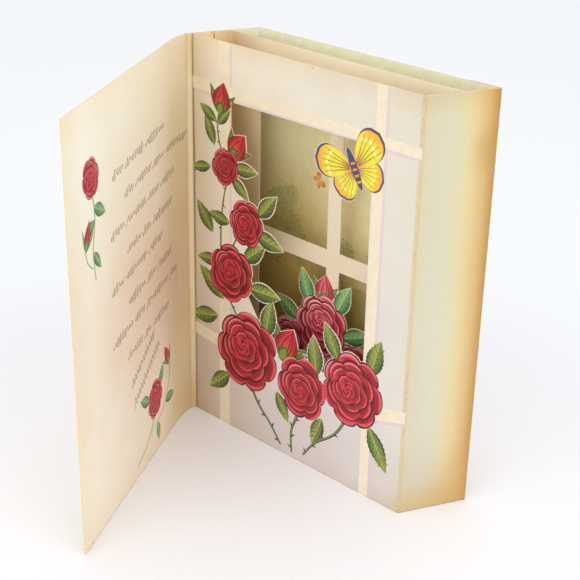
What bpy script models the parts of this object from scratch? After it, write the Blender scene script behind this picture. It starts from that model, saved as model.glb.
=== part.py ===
"""Pop up card: a folded shadow box of die cut card, standing open beside its cover leaf.

Metres, Z up. Every sheet is drawn flat as a die cut blank, u along the sheet and v up it,
and is then folded along upright creases that are seen from above as a plan path.
The front panel lies along X and faces -Y. The whole stands on Z = 0.
"""

from math import cos, pi, radians, sin

import bmesh
import bpy
from mathutils import Vector
from mathutils.geometry import delaunay_2d_cdt

# card stock
STOCK = 0.0004
LAP = 0.0003
HALF = 0.5

# outer size of the folded box and the way it is racked
HEIGHT = 0.190
PANEL_WIDTH = 0.129
WALL_DEPTH = 0.033
WALL_LEAN = radians(25.8)

# glue tabs: the middle sheet's take a share of the wall in front of it
MIDDLE_TAB_SHARE = 0.44
TAB_CLEARANCE = 0.0006
REAR_TAB = 0.016
TAB_SNIP = 0.0012

# cover leaf and the spine strip that it hangs from
LEAF_WIDTH = 0.1285
LEAF_OPEN = radians(62.1)
ROOT_LENGTH = 0.015
ROOT_TURN = radians(18.6)
ROOT_STEPS = 6
STRIP_WIDTH = 0.0026
STRIP_HEADING = radians(237.5)
CREASE_GAP = 0.0005

# window of the front panel, as margins left round it
WINDOW_SIDE = 0.024
WINDOW_TOP = 0.026
WINDOW_BOTTOM = 0.049

# middle sheet: where it stands, its four panes and the bars between them
MIDDLE_PLACE_SHARE = 0.551
BEND_PLACE_SHARE = 0.908
BEND_RISE = 0.0008
PANE_SIDE = 0.0185
PANE_TOP = 0.026
PANE_BOTTOM = 0.033
UPRIGHT_BAR = 0.0076
LEVEL_BAR = 0.0088

# cut outlines of the bouquet run this far outside the print
CUT_MARGIN = 0.0008

# bloom shape
PETAL_DIP_SHARE = 0.13
PETAL_ROUNDNESS = 0.55
PETAL_STEPS = 8
PETAL_SWAY_SHARE = 0.045
SWAY_TURNS = 2

# leaf, bud and wing shapes
LEAF_STEPS = 10
LEAF_BELLY = 0.85
WING_BELLY = 1.7
WING_ROUNDNESS = 0.5
BUD_WIDTH_SHARE = 0.72
SEPAL_LENGTH_SHARE = 0.95
SEPAL_WIDTH_SHARE = 0.26
SEPAL_SPREAD = radians(34)

# blooms of the front panel: share of the width, shares of the height for
# the place and the radius, petal count, turn in degrees
FRONT_BLOOM_SHARES = (
    (0.270, 0.236, 0.104, 7, 10),
    (0.540, 0.206, 0.079, 6, 40),
    (0.772, 0.262, 0.092, 7, 25),
    (0.186, 0.430, 0.074, 6, 5),
    (0.262, 0.575, 0.056, 6, 30),
    (0.158, 0.700, 0.044, 5, 12),
)

# leaves of the front panel: share of the width, shares of the height for
# the foot, the length and the breadth, heading in degrees
FRONT_LEAF_SHARES = (
    (0.360, 0.300, 0.104, 0.048, 78),
    (0.430, 0.262, 0.092, 0.044, 24),
    (0.610, 0.260, 0.100, 0.046, 98),
    (0.845, 0.322, 0.100, 0.046, 74),
    (0.705, 0.325, 0.092, 0.042, 118),
    (0.280, 0.412, 0.100, 0.044, 2),
    (0.250, 0.478, 0.088, 0.040, 38),
    (0.320, 0.605, 0.086, 0.038, 48),
    (0.305, 0.560, 0.092, 0.040, -12),
    (0.200, 0.705, 0.076, 0.032, 4),
    (0.190, 0.680, 0.070, 0.028, -38),
)

# buds of the front panel: same order as the leaves, without a breadth
FRONT_BUD_SHARES = (
    (0.182, 0.728, 0.078, 52),
    (0.440, 0.262, 0.096, 66),
)

# solid card behind the bouquet of the front panel, as a closed outline
FRONT_GROUND_SHARES = (
    (0.160, 0.160),
    (0.840, 0.160),
    (0.840, 0.262),
    (0.790, 0.318),
    (0.700, 0.285),
    (0.610, 0.272),
    (0.500, 0.272),
    (0.400, 0.300),
    (0.330, 0.330),
    (0.260, 0.400),
    (0.262, 0.470),
    (0.300, 0.540),
    (0.280, 0.610),
    (0.230, 0.650),
    (0.200, 0.720),
    (0.160, 0.720),
)

# butterfly of the front panel: share of the width, share of the height, heading
BUTTERFLY_SHARES = (0.742, 0.800)
BUTTERFLY_HEADING = radians(118)
FORE_WING_SHARES = (0.112, 0.074)
FORE_WING_SPREAD = radians(62)
HIND_WING_SHARES = (0.080, 0.066)
HIND_WING_SPREAD = radians(124)
BUTTERFLY_BODY_SHARES = (0.098, 0.018)

# bouquet of the middle sheet
MIDDLE_BLOOM_SHARES = (
    (0.455, 0.338, 0.080, 7, 0),
    (0.300, 0.262, 0.058, 6, 20),
    (0.610, 0.258, 0.062, 6, 35),
)
MIDDLE_LEAF_SHARES = (
    (0.400, 0.385, 0.088, 0.042, 108),
    (0.520, 0.385, 0.092, 0.042, 62),
    (0.350, 0.330, 0.084, 0.038, 148),
    (0.560, 0.330, 0.090, 0.040, 22),
)
MIDDLE_BUD_SHARES = (
    (0.462, 0.400, 0.074, 84),
)

# solid card behind the bouquet of the middle sheet
MIDDLE_GROUND_SHARES = (
    (0.300, 0.262),
    (0.455, 0.250),
    (0.610, 0.258),
    (0.600, 0.310),
    (0.500, 0.400),
    (0.410, 0.400),
    (0.320, 0.310),
)

# looks of the plain solids
PAPER_ROUGHNESS = 0.75
CREAM_SHARES = (0.86, 0.78, 0.62)
LILAC_SHARES = (0.74, 0.70, 0.66)
SAGE_SHARES = (0.42, 0.46, 0.26)
BLUSH_SHARES = (0.88, 0.74, 0.58)

# a mark this close to a crease, as a share of the thickness of the card, lies on it
SAME_SHARE = 0.01

# distances below this count as the same place
SAME_PLACE = 0.0000002


def clear_scene():
    for thing in list(bpy.data.objects):
        bpy.data.objects.remove(thing, do_unlink=True)


def heading(angle):
    return Vector((cos(angle), sin(angle)))


def skewed(across, deep):
    """Plan point of the racked box: across along the front panel, deep along its walls."""
    return Vector((across + deep * sin(WALL_LEAN), deep * cos(WALL_LEAN)))


# distances through the card, measured along the racked directions
INSET = STOCK * HALF / cos(WALL_LEAN)
LAP_INSET = LAP / cos(WALL_LEAN)

# place of the middle sheet along the walls, and the tabs on the left wall before it
MIDDLE_PLACE = WALL_DEPTH * MIDDLE_PLACE_SHARE
MIDDLE_TAB = MIDDLE_PLACE * MIDDLE_TAB_SHARE
FRONT_TAB = MIDDLE_PLACE - MIDDLE_TAB - TAB_CLEARANCE


# plan paths

def front_path():
    """Left tab, front panel, right wall and rear tab."""
    left = INSET
    right = PANEL_WIDTH - INSET
    rear = WALL_DEPTH - INSET
    return [
        skewed(left, FRONT_TAB),
        skewed(left, INSET),
        skewed(right, INSET),
        skewed(right, rear),
        skewed(right - REAR_TAB, rear),
    ]


def spine_corner():
    """Plan point where the spine strip meets the left wall."""
    return skewed(-LAP_INSET - INSET, INSET)


def hinge_point():
    """Plan point of the crease between the spine strip and the cover leaf."""
    return spine_corner() + heading(STRIP_HEADING) * STRIP_WIDTH


def back_path():
    """Spine strip, left wall and back panel."""
    left = -LAP_INSET - INSET
    rear = WALL_DEPTH - INSET - INSET - INSET - LAP_INSET
    end = PANEL_WIDTH - INSET - INSET - LAP_INSET - LAP_INSET
    return [
        hinge_point() - heading(STRIP_HEADING) * CREASE_GAP,
        spine_corner(),
        skewed(left, rear),
        skewed(end, rear),
    ]


def middle_path():
    """Left tab, middle panel with a slight bend near its right end, and right tab."""
    left = INSET
    right = PANEL_WIDTH - INSET - INSET - INSET - LAP_INSET
    tab_end = MIDDLE_PLACE - MIDDLE_TAB
    return [
        skewed(left, tab_end),
        skewed(left, MIDDLE_PLACE),
        skewed(PANEL_WIDTH * BEND_PLACE_SHARE, MIDDLE_PLACE - BEND_RISE),
        skewed(right, MIDDLE_PLACE),
        skewed(right, tab_end),
    ]


def leaf_path():
    """Cover leaf from its crease: a rounded root, then flat to the free edge."""
    turn = -LEAF_OPEN - ROOT_TURN
    point = hinge_point() + heading(turn) * CREASE_GAP
    path = [point]
    step = (ROOT_LENGTH - CREASE_GAP) / ROOT_STEPS
    for _ in range(ROOT_STEPS):
        turn += ROOT_TURN * HALF / ROOT_STEPS
        point = point + heading(turn) * step
        path.append(point)
        turn += ROOT_TURN * HALF / ROOT_STEPS
    path.append(point + heading(turn) * (LEAF_WIDTH - ROOT_LENGTH))
    return path


# flat outlines on a blank

def panel_point(start, shares):
    return Vector((start + shares[0] * PANEL_WIDTH, shares[1] * HEIGHT))


def box_outline(left, right, low, high):
    return [Vector((left, low)), Vector((right, low)), Vector((right, high)), Vector((left, high))]


def tab_outline(left, right, left_snip, right_snip):
    """Outline of a whole blank, with the corners of its end tabs snipped off."""
    return [
        Vector((left, left_snip)),
        Vector((left + left_snip, 0)),
        Vector((right - right_snip, 0)),
        Vector((right, right_snip)),
        Vector((right, HEIGHT - right_snip)),
        Vector((right - right_snip, HEIGHT)),
        Vector((left + left_snip, HEIGHT)),
        Vector((left, HEIGHT - left_snip)),
    ]


def bloom_outline(centre, radius, petals, turn):
    outline = []
    count = petals * PETAL_STEPS
    for index in range(count):
        angle = 2 * pi * index / count
        lobe = abs(sin(angle * petals * HALF)) ** PETAL_ROUNDNESS
        sway = PETAL_SWAY_SHARE * sin(angle * SWAY_TURNS)
        reach = radius * (1 + sway - PETAL_DIP_SHARE * (1 - lobe))
        outline.append(centre + heading(angle + turn) * reach)
    return outline


def blade_outline(foot, length, breadth, angle, belly, roundness):
    """Outline of a leaf or a wing, widest where belly puts it."""
    along = heading(angle)
    across = heading(angle + pi * HALF)
    sides = ([], [])
    for index in range(1, LEAF_STEPS):
        share = index / LEAF_STEPS
        reach = breadth * HALF * sin(pi * share ** belly) ** roundness
        middle = foot + along * (length * share)
        sides[0].append(middle - across * reach)
        sides[1].append(middle + across * reach)
    return [foot] + sides[0] + [foot + along * length] + sides[1][::-1]


def leaf_outline(start, shares):
    place, size, angle = shares[:2], shares[2:4], radians(shares[4])
    foot = panel_point(start, place) - heading(angle) * CUT_MARGIN
    length = size[0] * HEIGHT + CUT_MARGIN + CUT_MARGIN
    breadth = size[1] * HEIGHT + CUT_MARGIN + CUT_MARGIN
    return blade_outline(foot, length, breadth, angle, LEAF_BELLY, 1)


def bud_outlines(start, shares):
    """A bud between two sepals."""
    place, length, angle = shares[:2], shares[2], shares[3]
    outlines = [leaf_outline(start, (*place, length, length * BUD_WIDTH_SHARE, angle))]
    for spread in (-SEPAL_SPREAD, SEPAL_SPREAD):
        foot = panel_point(start, place)
        outlines.append(blade_outline(
            foot,
            length * HEIGHT * SEPAL_LENGTH_SHARE,
            length * HEIGHT * SEPAL_WIDTH_SHARE + CUT_MARGIN,
            radians(angle) + spread,
            LEAF_BELLY,
            1,
        ))
    return outlines


def butterfly_outlines(start):
    body = panel_point(start, BUTTERFLY_SHARES)
    wings = ((FORE_WING_SHARES, FORE_WING_SPREAD), (HIND_WING_SHARES, HIND_WING_SPREAD))
    along = heading(BUTTERFLY_HEADING)
    length, breadth = (share * HEIGHT + CUT_MARGIN for share in BUTTERFLY_BODY_SHARES)
    tail = body - along * (length * HALF)
    outlines = [blade_outline(tail, length, breadth, BUTTERFLY_HEADING, 1, WING_ROUNDNESS)]
    for size, spread in wings:
        for side in (-1, 1):
            outlines.append(blade_outline(
                body,
                size[0] * HEIGHT + CUT_MARGIN,
                size[1] * HEIGHT + CUT_MARGIN,
                BUTTERFLY_HEADING + side * spread,
                WING_BELLY,
                WING_ROUNDNESS,
            ))
    return outlines


def bouquet_outlines(start, ground, blooms, leaves, buds):
    outlines = [[panel_point(start, shares) for shares in ground]]
    for across, up, radius, petals, turn in blooms:
        centre = panel_point(start, (across, up))
        reach = radius * HEIGHT + CUT_MARGIN
        outlines.append(bloom_outline(centre, reach, petals, radians(turn)))
    for shares in leaves:
        outlines.append(leaf_outline(start, shares))
    for shares in buds:
        outlines.extend(bud_outlines(start, shares))
    return outlines


# cutting and folding

def crease_marks(path):
    """Distance along the sheet of every point of its plan path."""
    marks = [0]
    for here, there in zip(path, path[1:]):
        marks.append(marks[-1] + (there - here).length)
    return marks


def cut_blank(outline, marks, openings, motifs):
    """Flat points and triangles of a blank. Motifs stay standing where they cross an opening."""
    rings = [outline] + openings + motifs
    points = []
    faces = []
    for ring in rings:
        faces.append(list(range(len(points), len(points) + len(ring))))
        points.extend(ring)
    edges = []
    for mark in marks[1:-1]:
        edges.append((len(points), len(points) + 1))
        points.extend([Vector((mark, 0)), Vector((mark, HEIGHT))])
    flat, _, triangles, _, _, sources = delaunay_2d_cdt(points, edges, faces, 1, SAME_PLACE, True)
    first_motif = 1 + len(openings)
    kept = []
    for triangle, source in zip(triangles, sources):
        in_opening = any(0 < number < first_motif for number in source)
        in_motif = any(number >= first_motif for number in source)
        if 0 in source and (in_motif or not in_opening):
            kept.append(tuple(triangle))
    return flat, kept


def turned_left(flat, triangle):
    a, b, c = (flat[index] for index in triangle)
    return (b - a).cross(c - a) > 0


def side_normal(path, index):
    run = (path[index + 1] - path[index]).normalized()
    return Vector((run[1], -run[0]))


def folded_point(path, marks, mark, side):
    """Plan point of one face of the card, mitred where it lies on a crease."""
    last = len(path) - 1
    for index, crease in enumerate(marks):
        if abs(mark - crease) < STOCK * SAME_SHARE:
            before = side_normal(path, max(index - 1, 0))
            after = side_normal(path, min(index, last - 1))
            mitre = (before + after) / (1 + before.dot(after))
            return path[index] + mitre * (side * STOCK * HALF)
    index = max(number for number in range(last) if marks[number] < mark)
    share = (mark - marks[index]) / (marks[index + 1] - marks[index])
    middle = path[index].lerp(path[index + 1], share)
    return middle + side_normal(path, index) * (side * STOCK * HALF)




def plan_centre():
    """Middle of everything as seen from above, the thickness of the card included."""
    points = []
    for path in (front_path(), back_path(), middle_path(), leaf_path()):
        marks = crease_marks(path)
        for mark in marks:
            points.extend(folded_point(path, marks, mark, side) for side in (1, -1))
    lows = [min(point[axis] for point in points) for axis in (0, 1)]
    highs = [max(point[axis] for point in points) for axis in (0, 1)]
    return (Vector(lows) + Vector(highs)) * HALF


def folded_sheet(name, path, origin, outline, openings, motifs, material):
    """One closed solid: the cut blank, folded along its path, about the given plan origin."""
    marks = crease_marks(path)
    flat, triangles = cut_blank(outline, marks, openings, motifs)
    mesh = bmesh.new()
    faces = {}
    for side in (1, -1):
        for index, point in enumerate(flat):
            place = folded_point(path, marks, point[0], side) - origin
            faces[index, side] = mesh.verts.new((place[0], place[1], point[1]))
    borders = set()
    for triangle in triangles:
        ring = triangle if turned_left(flat, triangle) else triangle[::-1]
        mesh.faces.new([faces[index, 1] for index in ring])
        mesh.faces.new([faces[index, -1] for index in ring[::-1]])
        borders.update(zip(ring, ring[1:] + ring[:1]))
    for start, end in sorted(borders):
        if (end, start) not in borders:
            wall = ((end, 1), (start, 1), (start, -1), (end, -1))
            mesh.faces.new([faces[key] for key in wall])
    loose = [vert for vert in mesh.verts if not vert.link_faces]
    bmesh.ops.delete(mesh, geom=loose, context="VERTS")
    data = bpy.data.meshes.new(name)
    mesh.to_mesh(data)
    mesh.free()
    data.materials.append(material)
    sheet = bpy.data.objects.new(name, data)
    bpy.context.scene.collection.objects.link(sheet)
    return sheet


# materials

def card_material(name, colour):
    material = bpy.data.materials.new(name)
    material.use_nodes = True
    shader = material.node_tree.nodes["Principled BSDF"]
    shader.inputs["Base Color"].default_value = (*colour, 1)
    shader.inputs["Roughness"].default_value = PAPER_ROUGHNESS
    return material


# the four sheets

def build_front_sheet(centre):
    path = front_path()
    marks = crease_marks(path)
    start = marks[1]
    window = box_outline(
        start + WINDOW_SIDE,
        start + PANEL_WIDTH - WINDOW_SIDE,
        WINDOW_BOTTOM,
        HEIGHT - WINDOW_TOP,
    )
    motifs = bouquet_outlines(
        start,
        FRONT_GROUND_SHARES,
        FRONT_BLOOM_SHARES,
        FRONT_LEAF_SHARES,
        FRONT_BUD_SHARES,
    )
    motifs += butterfly_outlines(start)
    outline = tab_outline(0, marks[-1], TAB_SNIP, TAB_SNIP)
    material = card_material("toned_card", LILAC_SHARES)
    return folded_sheet("front_sheet", path, centre, outline, [window], motifs, material)


def build_back_sheet(centre):
    path = back_path()
    marks = crease_marks(path)
    outline = box_outline(0, marks[-1], 0, HEIGHT)
    material = card_material("garden_card", SAGE_SHARES)
    return folded_sheet("back_sheet", path, centre, outline, [], [], material)


def pane_outlines(start):
    """The four openings round the upright bar and the level bar."""
    left = start + PANE_SIDE
    right = start + PANEL_WIDTH - PANE_SIDE
    low = PANE_BOTTOM
    high = HEIGHT - PANE_TOP
    upright = (left + right) * HALF
    level = (low + high) * HALF
    columns = ((left, upright - UPRIGHT_BAR * HALF), (upright + UPRIGHT_BAR * HALF, right))
    rows = ((low, level - LEVEL_BAR * HALF), (level + LEVEL_BAR * HALF, high))
    return [box_outline(*column, *row) for column in columns for row in rows]


def build_middle_sheet(centre):
    path = middle_path()
    marks = crease_marks(path)
    start = marks[1]
    motifs = bouquet_outlines(
        start,
        MIDDLE_GROUND_SHARES,
        MIDDLE_BLOOM_SHARES,
        MIDDLE_LEAF_SHARES,
        MIDDLE_BUD_SHARES,
    )
    outline = tab_outline(0, marks[-1], TAB_SNIP, TAB_SNIP)
    material = card_material("cream_card", CREAM_SHARES)
    panes = pane_outlines(start)
    return folded_sheet("middle_sheet", path, centre, outline, panes, motifs, material)


def build_cover_leaf(centre):
    path = leaf_path()
    marks = crease_marks(path)
    hinge = hinge_point()
    outline = box_outline(0, marks[-1], 0, HEIGHT)
    material = card_material("blush_card", BLUSH_SHARES)
    leaf = folded_sheet("cover_leaf", path, hinge, outline, [], [], material)
    leaf.location = (*(hinge - centre), 0)
    return leaf


def main():
    clear_scene()
    centre = plan_centre()
    build_front_sheet(centre)
    build_back_sheet(centre)
    build_middle_sheet(centre)
    build_cover_leaf(centre)
    bpy.context.view_layer.update()


main()
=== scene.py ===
"""Pop up card: printed, toned card sheets over the folded solids, pen strokes and a pale studio.

Metres, Z up. Each sheet is drawn flat, u along it and v up it, printed there with fields of
colour, and folded along the same path as its solid.
"""

from math import atan2, cos, pi, radians, sin, tau
from random import Random

import bmesh
import bpy
from bpy.props import FloatProperty, FloatVectorProperty, IntProperty, PointerProperty
from mathutils import Matrix, Vector
from mathutils.geometry import delaunay_2d_cdt


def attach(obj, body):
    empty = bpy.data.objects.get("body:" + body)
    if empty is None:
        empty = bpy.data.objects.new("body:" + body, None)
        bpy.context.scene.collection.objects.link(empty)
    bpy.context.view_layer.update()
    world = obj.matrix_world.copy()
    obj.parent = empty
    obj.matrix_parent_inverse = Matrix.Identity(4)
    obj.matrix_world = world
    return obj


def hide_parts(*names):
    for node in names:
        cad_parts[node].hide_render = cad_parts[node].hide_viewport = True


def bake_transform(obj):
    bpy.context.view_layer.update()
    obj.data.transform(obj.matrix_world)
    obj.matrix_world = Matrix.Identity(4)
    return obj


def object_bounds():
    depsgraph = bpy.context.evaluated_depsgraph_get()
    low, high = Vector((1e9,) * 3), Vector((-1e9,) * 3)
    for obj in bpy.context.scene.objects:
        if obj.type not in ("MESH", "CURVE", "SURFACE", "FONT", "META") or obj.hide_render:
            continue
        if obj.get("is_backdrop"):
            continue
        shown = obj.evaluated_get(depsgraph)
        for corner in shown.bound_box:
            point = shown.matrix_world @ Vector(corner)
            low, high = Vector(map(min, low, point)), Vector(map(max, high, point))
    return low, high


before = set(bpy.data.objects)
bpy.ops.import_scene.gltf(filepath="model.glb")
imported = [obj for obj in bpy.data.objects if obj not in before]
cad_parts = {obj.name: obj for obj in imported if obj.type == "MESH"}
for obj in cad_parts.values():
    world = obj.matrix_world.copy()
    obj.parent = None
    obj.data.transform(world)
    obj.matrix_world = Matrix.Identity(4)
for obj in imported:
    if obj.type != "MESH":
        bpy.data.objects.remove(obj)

bl_info = {
    "name": "Pop up card",
    "version": (1, 0, 0),
    "blender": (4, 5, 0),
    "location": "View3D > Sidebar > Card",
    "description": "Prints and folds the sheets of a pop up card",
    "category": "Add Mesh",
}

# card stock, as the solids have it
STOCK = 0.0004
LAP = 0.0003
HALF = 0.5

# outer size of the folded box and the way it is racked
HEIGHT = 0.190
PANEL_WIDTH = 0.129
WALL_DEPTH = 0.033
WALL_LEAN = radians(25.8)

# glue tabs
MIDDLE_TAB_SHARE = 0.44
TAB_CLEARANCE = 0.0006
REAR_TAB = 0.016
TAB_SNIP = 0.0012

# cover leaf and the spine strip that it hangs from
LEAF_WIDTH = 0.1285
LEAF_OPEN = radians(62.1)
ROOT_LENGTH = 0.015
ROOT_TURN = radians(18.6)
ROOT_STEPS = 6
STRIP_WIDTH = 0.0026
STRIP_HEADING = radians(237.5)
CREASE_GAP = 0.0005

# window of the front panel, as margins left round it
WINDOW_SIDE = 0.024
WINDOW_TOP = 0.026
WINDOW_BOTTOM = 0.049

# middle sheet: where it stands, its four panes and the bars between them
MIDDLE_PLACE_SHARE = 0.551
BEND_PLACE_SHARE = 0.908
BEND_RISE = 0.0008
PANE_SIDE = 0.0185
PANE_TOP = 0.026
PANE_BOTTOM = 0.033
UPRIGHT_BAR = 0.0076
LEVEL_BAR = 0.0088

# the cut outlines run this far outside the drawn shapes
CUT_MARGIN = 0.0008

# bloom shape
PETAL_DIP_SHARE = 0.13
PETAL_ROUNDNESS = 0.55
PETAL_STEPS = 12
PETAL_SWAY_SHARE = 0.045
SWAY_TURNS = 2

# points of a smooth line between two given ones, and how much a stroke thins out
LINE_STEPS = 6
VEIN_TAPER = 0.45

# leaf, bud and wing shapes
LEAF_STEPS = 14
TOOTH_STEPS = 20
LEAF_BELLY = 0.85
WING_BELLY = 1.7
WING_ROUNDNESS = 0.5
BUD_WIDTH_SHARE = 0.72
SEPAL_LENGTH_SHARE = 0.95
SEPAL_WIDTH_SHARE = 0.26
SEPAL_SPREAD = radians(34)

# blooms of the front panel: share of the width, shares of the height for
# the place and the radius, petal count, turn in degrees
FRONT_BLOOM_SHARES = (
    (0.270, 0.236, 0.104, 7, 10),
    (0.540, 0.206, 0.079, 6, 40),
    (0.772, 0.262, 0.092, 7, 25),
    (0.186, 0.430, 0.074, 6, 5),
    (0.262, 0.575, 0.056, 6, 30),
    (0.158, 0.700, 0.044, 5, 12),
)

# leaves of the front panel: share of the width, shares of the height for
# the foot, the length and the breadth, heading in degrees
FRONT_LEAF_SHARES = (
    (0.360, 0.300, 0.104, 0.048, 78),
    (0.430, 0.262, 0.092, 0.044, 24),
    (0.610, 0.260, 0.100, 0.046, 98),
    (0.845, 0.322, 0.100, 0.046, 74),
    (0.705, 0.325, 0.092, 0.042, 118),
    (0.280, 0.412, 0.100, 0.044, 2),
    (0.250, 0.478, 0.088, 0.040, 38),
    (0.320, 0.605, 0.086, 0.038, 48),
    (0.305, 0.560, 0.092, 0.040, -12),
    (0.200, 0.705, 0.076, 0.032, 4),
    (0.190, 0.680, 0.070, 0.028, -38),
)

# buds of the front panel: same order as the leaves, without a breadth
FRONT_BUD_SHARES = (
    (0.182, 0.728, 0.078, 52),
    (0.440, 0.262, 0.096, 66),
)
FRONT_BOUQUET = (FRONT_BLOOM_SHARES, FRONT_LEAF_SHARES, FRONT_BUD_SHARES)

# solid card behind the bouquet of the front panel, as a closed outline
FRONT_GROUND_SHARES = (
    (0.160, 0.160),
    (0.840, 0.160),
    (0.840, 0.262),
    (0.790, 0.318),
    (0.700, 0.285),
    (0.610, 0.272),
    (0.500, 0.272),
    (0.400, 0.300),
    (0.330, 0.330),
    (0.260, 0.400),
    (0.262, 0.470),
    (0.300, 0.540),
    (0.280, 0.610),
    (0.230, 0.650),
    (0.200, 0.720),
    (0.160, 0.720),
)

# butterfly of the front panel: share of the width, share of the height, heading
BUTTERFLY_SHARES = (0.742, 0.800)
BUTTERFLY_HEADING = radians(118)
FORE_WING_SHARES = (0.112, 0.074)
FORE_WING_SPREAD = radians(62)
HIND_WING_SHARES = (0.080, 0.066)
HIND_WING_SPREAD = radians(124)
BUTTERFLY_BODY_SHARES = (0.098, 0.018)

# bouquet of the middle sheet
MIDDLE_BLOOM_SHARES = (
    (0.455, 0.338, 0.080, 7, 0),
    (0.300, 0.262, 0.058, 6, 20),
    (0.610, 0.258, 0.062, 6, 35),
)
MIDDLE_LEAF_SHARES = (
    (0.400, 0.385, 0.088, 0.042, 108),
    (0.520, 0.385, 0.092, 0.042, 62),
    (0.350, 0.330, 0.084, 0.038, 148),
    (0.560, 0.330, 0.090, 0.040, 22),
)
MIDDLE_BUD_SHARES = (
    (0.462, 0.400, 0.074, 84),
)
MIDDLE_BOUQUET = (MIDDLE_BLOOM_SHARES, MIDDLE_LEAF_SHARES, MIDDLE_BUD_SHARES)

# solid card behind the bouquet of the middle sheet
MIDDLE_GROUND_SHARES = (
    (0.300, 0.262),
    (0.455, 0.250),
    (0.610, 0.258),
    (0.600, 0.310),
    (0.500, 0.400),
    (0.410, 0.400),
    (0.320, 0.310),
)

# printed only, on the front panel: more leaves, in the same order as above
PRINTED_LEAF_SHARES = (
    (0.150, 0.352, 0.110, 0.050, 142),
    (0.120, 0.300, 0.102, 0.048, 196),
    (0.180, 0.150, 0.098, 0.046, 222),
    (0.095, 0.520, 0.092, 0.042, 128),
    (0.180, 0.560, 0.076, 0.036, 172),
    (0.130, 0.450, 0.080, 0.036, 186),
    (0.105, 0.745, 0.084, 0.034, 112),
    (0.085, 0.690, 0.070, 0.030, 196),
    (0.640, 0.150, 0.088, 0.042, 250),
    (0.850, 0.190, 0.118, 0.050, 300),
    (0.420, 0.165, 0.084, 0.038, 300),
    (0.116, 0.806, 0.066, 0.030, 150),
    (0.122, 0.800, 0.060, 0.026, 46),
)

# printed only, on the front panel: a bud, in the same order as above
PRINTED_BUD_SHARES = (
    (0.128, 0.826, 0.080, 78),
)

# printed only, on the front panel: stems, each a line of points and a width
STEM_SHARES = (
    (((0.290, 0.150), (0.330, 0.105), (0.390, 0.066), (0.446, 0.020)), 0.0084),
    (((0.540, 0.150), (0.516, 0.112), (0.496, 0.070), (0.500, 0.014)), 0.0084),
    (((0.760, 0.190), (0.700, 0.124), (0.612, 0.074), (0.556, 0.024)), 0.0078),
    (((0.232, 0.306), (0.150, 0.400), (0.135, 0.520), (0.150, 0.620), (0.176, 0.680)), 0.0056),
    (((0.180, 0.480), (0.215, 0.530), (0.235, 0.555)), 0.0054),
    (((0.150, 0.650), (0.120, 0.690), (0.150, 0.740), (0.182, 0.735)), 0.0044),
    (((0.150, 0.720), (0.128, 0.760), (0.120, 0.800), (0.128, 0.832)), 0.0050),
)

# window bars printed on the front panel, as shares of the height from the panel's left edge
UPRIGHT_PRINT_SHARES = ((0.0868, 0.1221), (0.5563, 0.5832))
TOP_PRINT_SHARES = ((0, 0.871, 0.900), (0.6789, 0.866, 0.889))
SILL_PRINT_SHARES = ((0, 0.222, 0.254), (0.0868, 0.212, 0.246))
SILL_END_SHARES = ((0.5832, 0.212, 0.244), (0.6789, 0.240, 0.270))
BAR_SHADOW_SHARE = 0.008

# colours of the print, as red, green and blue pairs of hexadecimal digits
CRIMSON_TONES = ("520610", "860C1A", "BE1A2E", "DA3F50", "F2949A")
WINE_TONES = ("741420", "AC2838", "DE5464", "F09098", "FCD2D0")
OLIVE_TONES = ("2A3A16", "4C6224", "7E8E3C", "B2B862")
SAGE_TONES = ("2E5A36", "4E8A4C", "84B26C", "B6DA98")

# rings of petals: share of the radius, how many petals fewer, shift and twist
WHORL_SHARES = (
    (1.00, 0, 0.00, 0.0),
    (0.78, 1, 0.05, 0.5),
    (0.58, 2, 0.09, 1.3),
    (0.40, 2, 0.12, 2.2),
    (0.24, 3, 0.14, 3.0),
)
FEWEST_PETALS = 3
SEED_SCALE = 100
SHIFT_TURNS = 3
PETAL_OVERLAP = 1.26
PETAL_NARROW = 0.72
PETAL_BASE = 0.85
PETAL_CORNER = 0.13
PETAL_CORNER_POWER = 3
RIM_STEPS = 12
FEWEST_STEPS = 6
SIDE_SHARES = (0.85, 0.45, 0)
SHADE_LEVELS = (1, 0.66, 0.33)
ROLL_SHARE = 0.10
ROLL_INSET = 0.992
ROLL_ROUNDNESS = 0.7
LIGHT_ANGLE = radians(118)
SEAM_SHARE = 1.035
HEART_SHARE = 0.17
HEART_PETALS = 3
HEART_STEPS = 7
HEART_TURN = 0.42

# a mark this close to a crease, as a share of the thickness of the card, lies on it
SAME_SHARE = 0.01

# distances below this count as the same place
SAME_PLACE = 0.0000002

# shading of a petal, as shares of its length from the ring of petals inside it
UNDER_SHARE = 0.94
SHADOW_SHARE = 0.10
BODY_SHARES = (0.03, 0.34)
LIT_SHARES = (0.55, 1.0)

# shading of a petal from its left corner, -1, to its right, 1
LIT_SWING = (-0.7, 0.6)
DARK_SWING = (0.15, 1.0)
DARK_COVER = 0.75
LEAST_LIGHT = 0.30

# how much one petal may differ from the next
PETAL_WIDTHS = (0.92, 1.08)
PETAL_LENGTHS = (0.95, 1.0)
ROLL_WIDTHS = (0.6, 1.3)

# rolled rim of a petal: how far it runs, its tones and the dark line under it
ROLL_REACH = (-0.86, 0.5)
ROLL_BRIGHT_SHARES = (0.84, 0.93)
ROLL_EDGE_SHARES = (0.9, 1.0)
ROLL_SHADE_SHARE = 1.6
ROLL_SHADE_COVER = 0.55

# a short petal's rolled rim is this much thinner
SHORT_PETAL_SHARES = (0.35, 0.3)

# heart of a bloom: lag, width and tone of each curl, then where a curl starts and how far it runs in
HEART_CURLS = ((0, 0.34, 3), (0.5, 0.26, 2), (1.1, 0.16, 0))
HEART_REACH = (0.92, 0.84)
CURL_TAPER = 0.7

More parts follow.
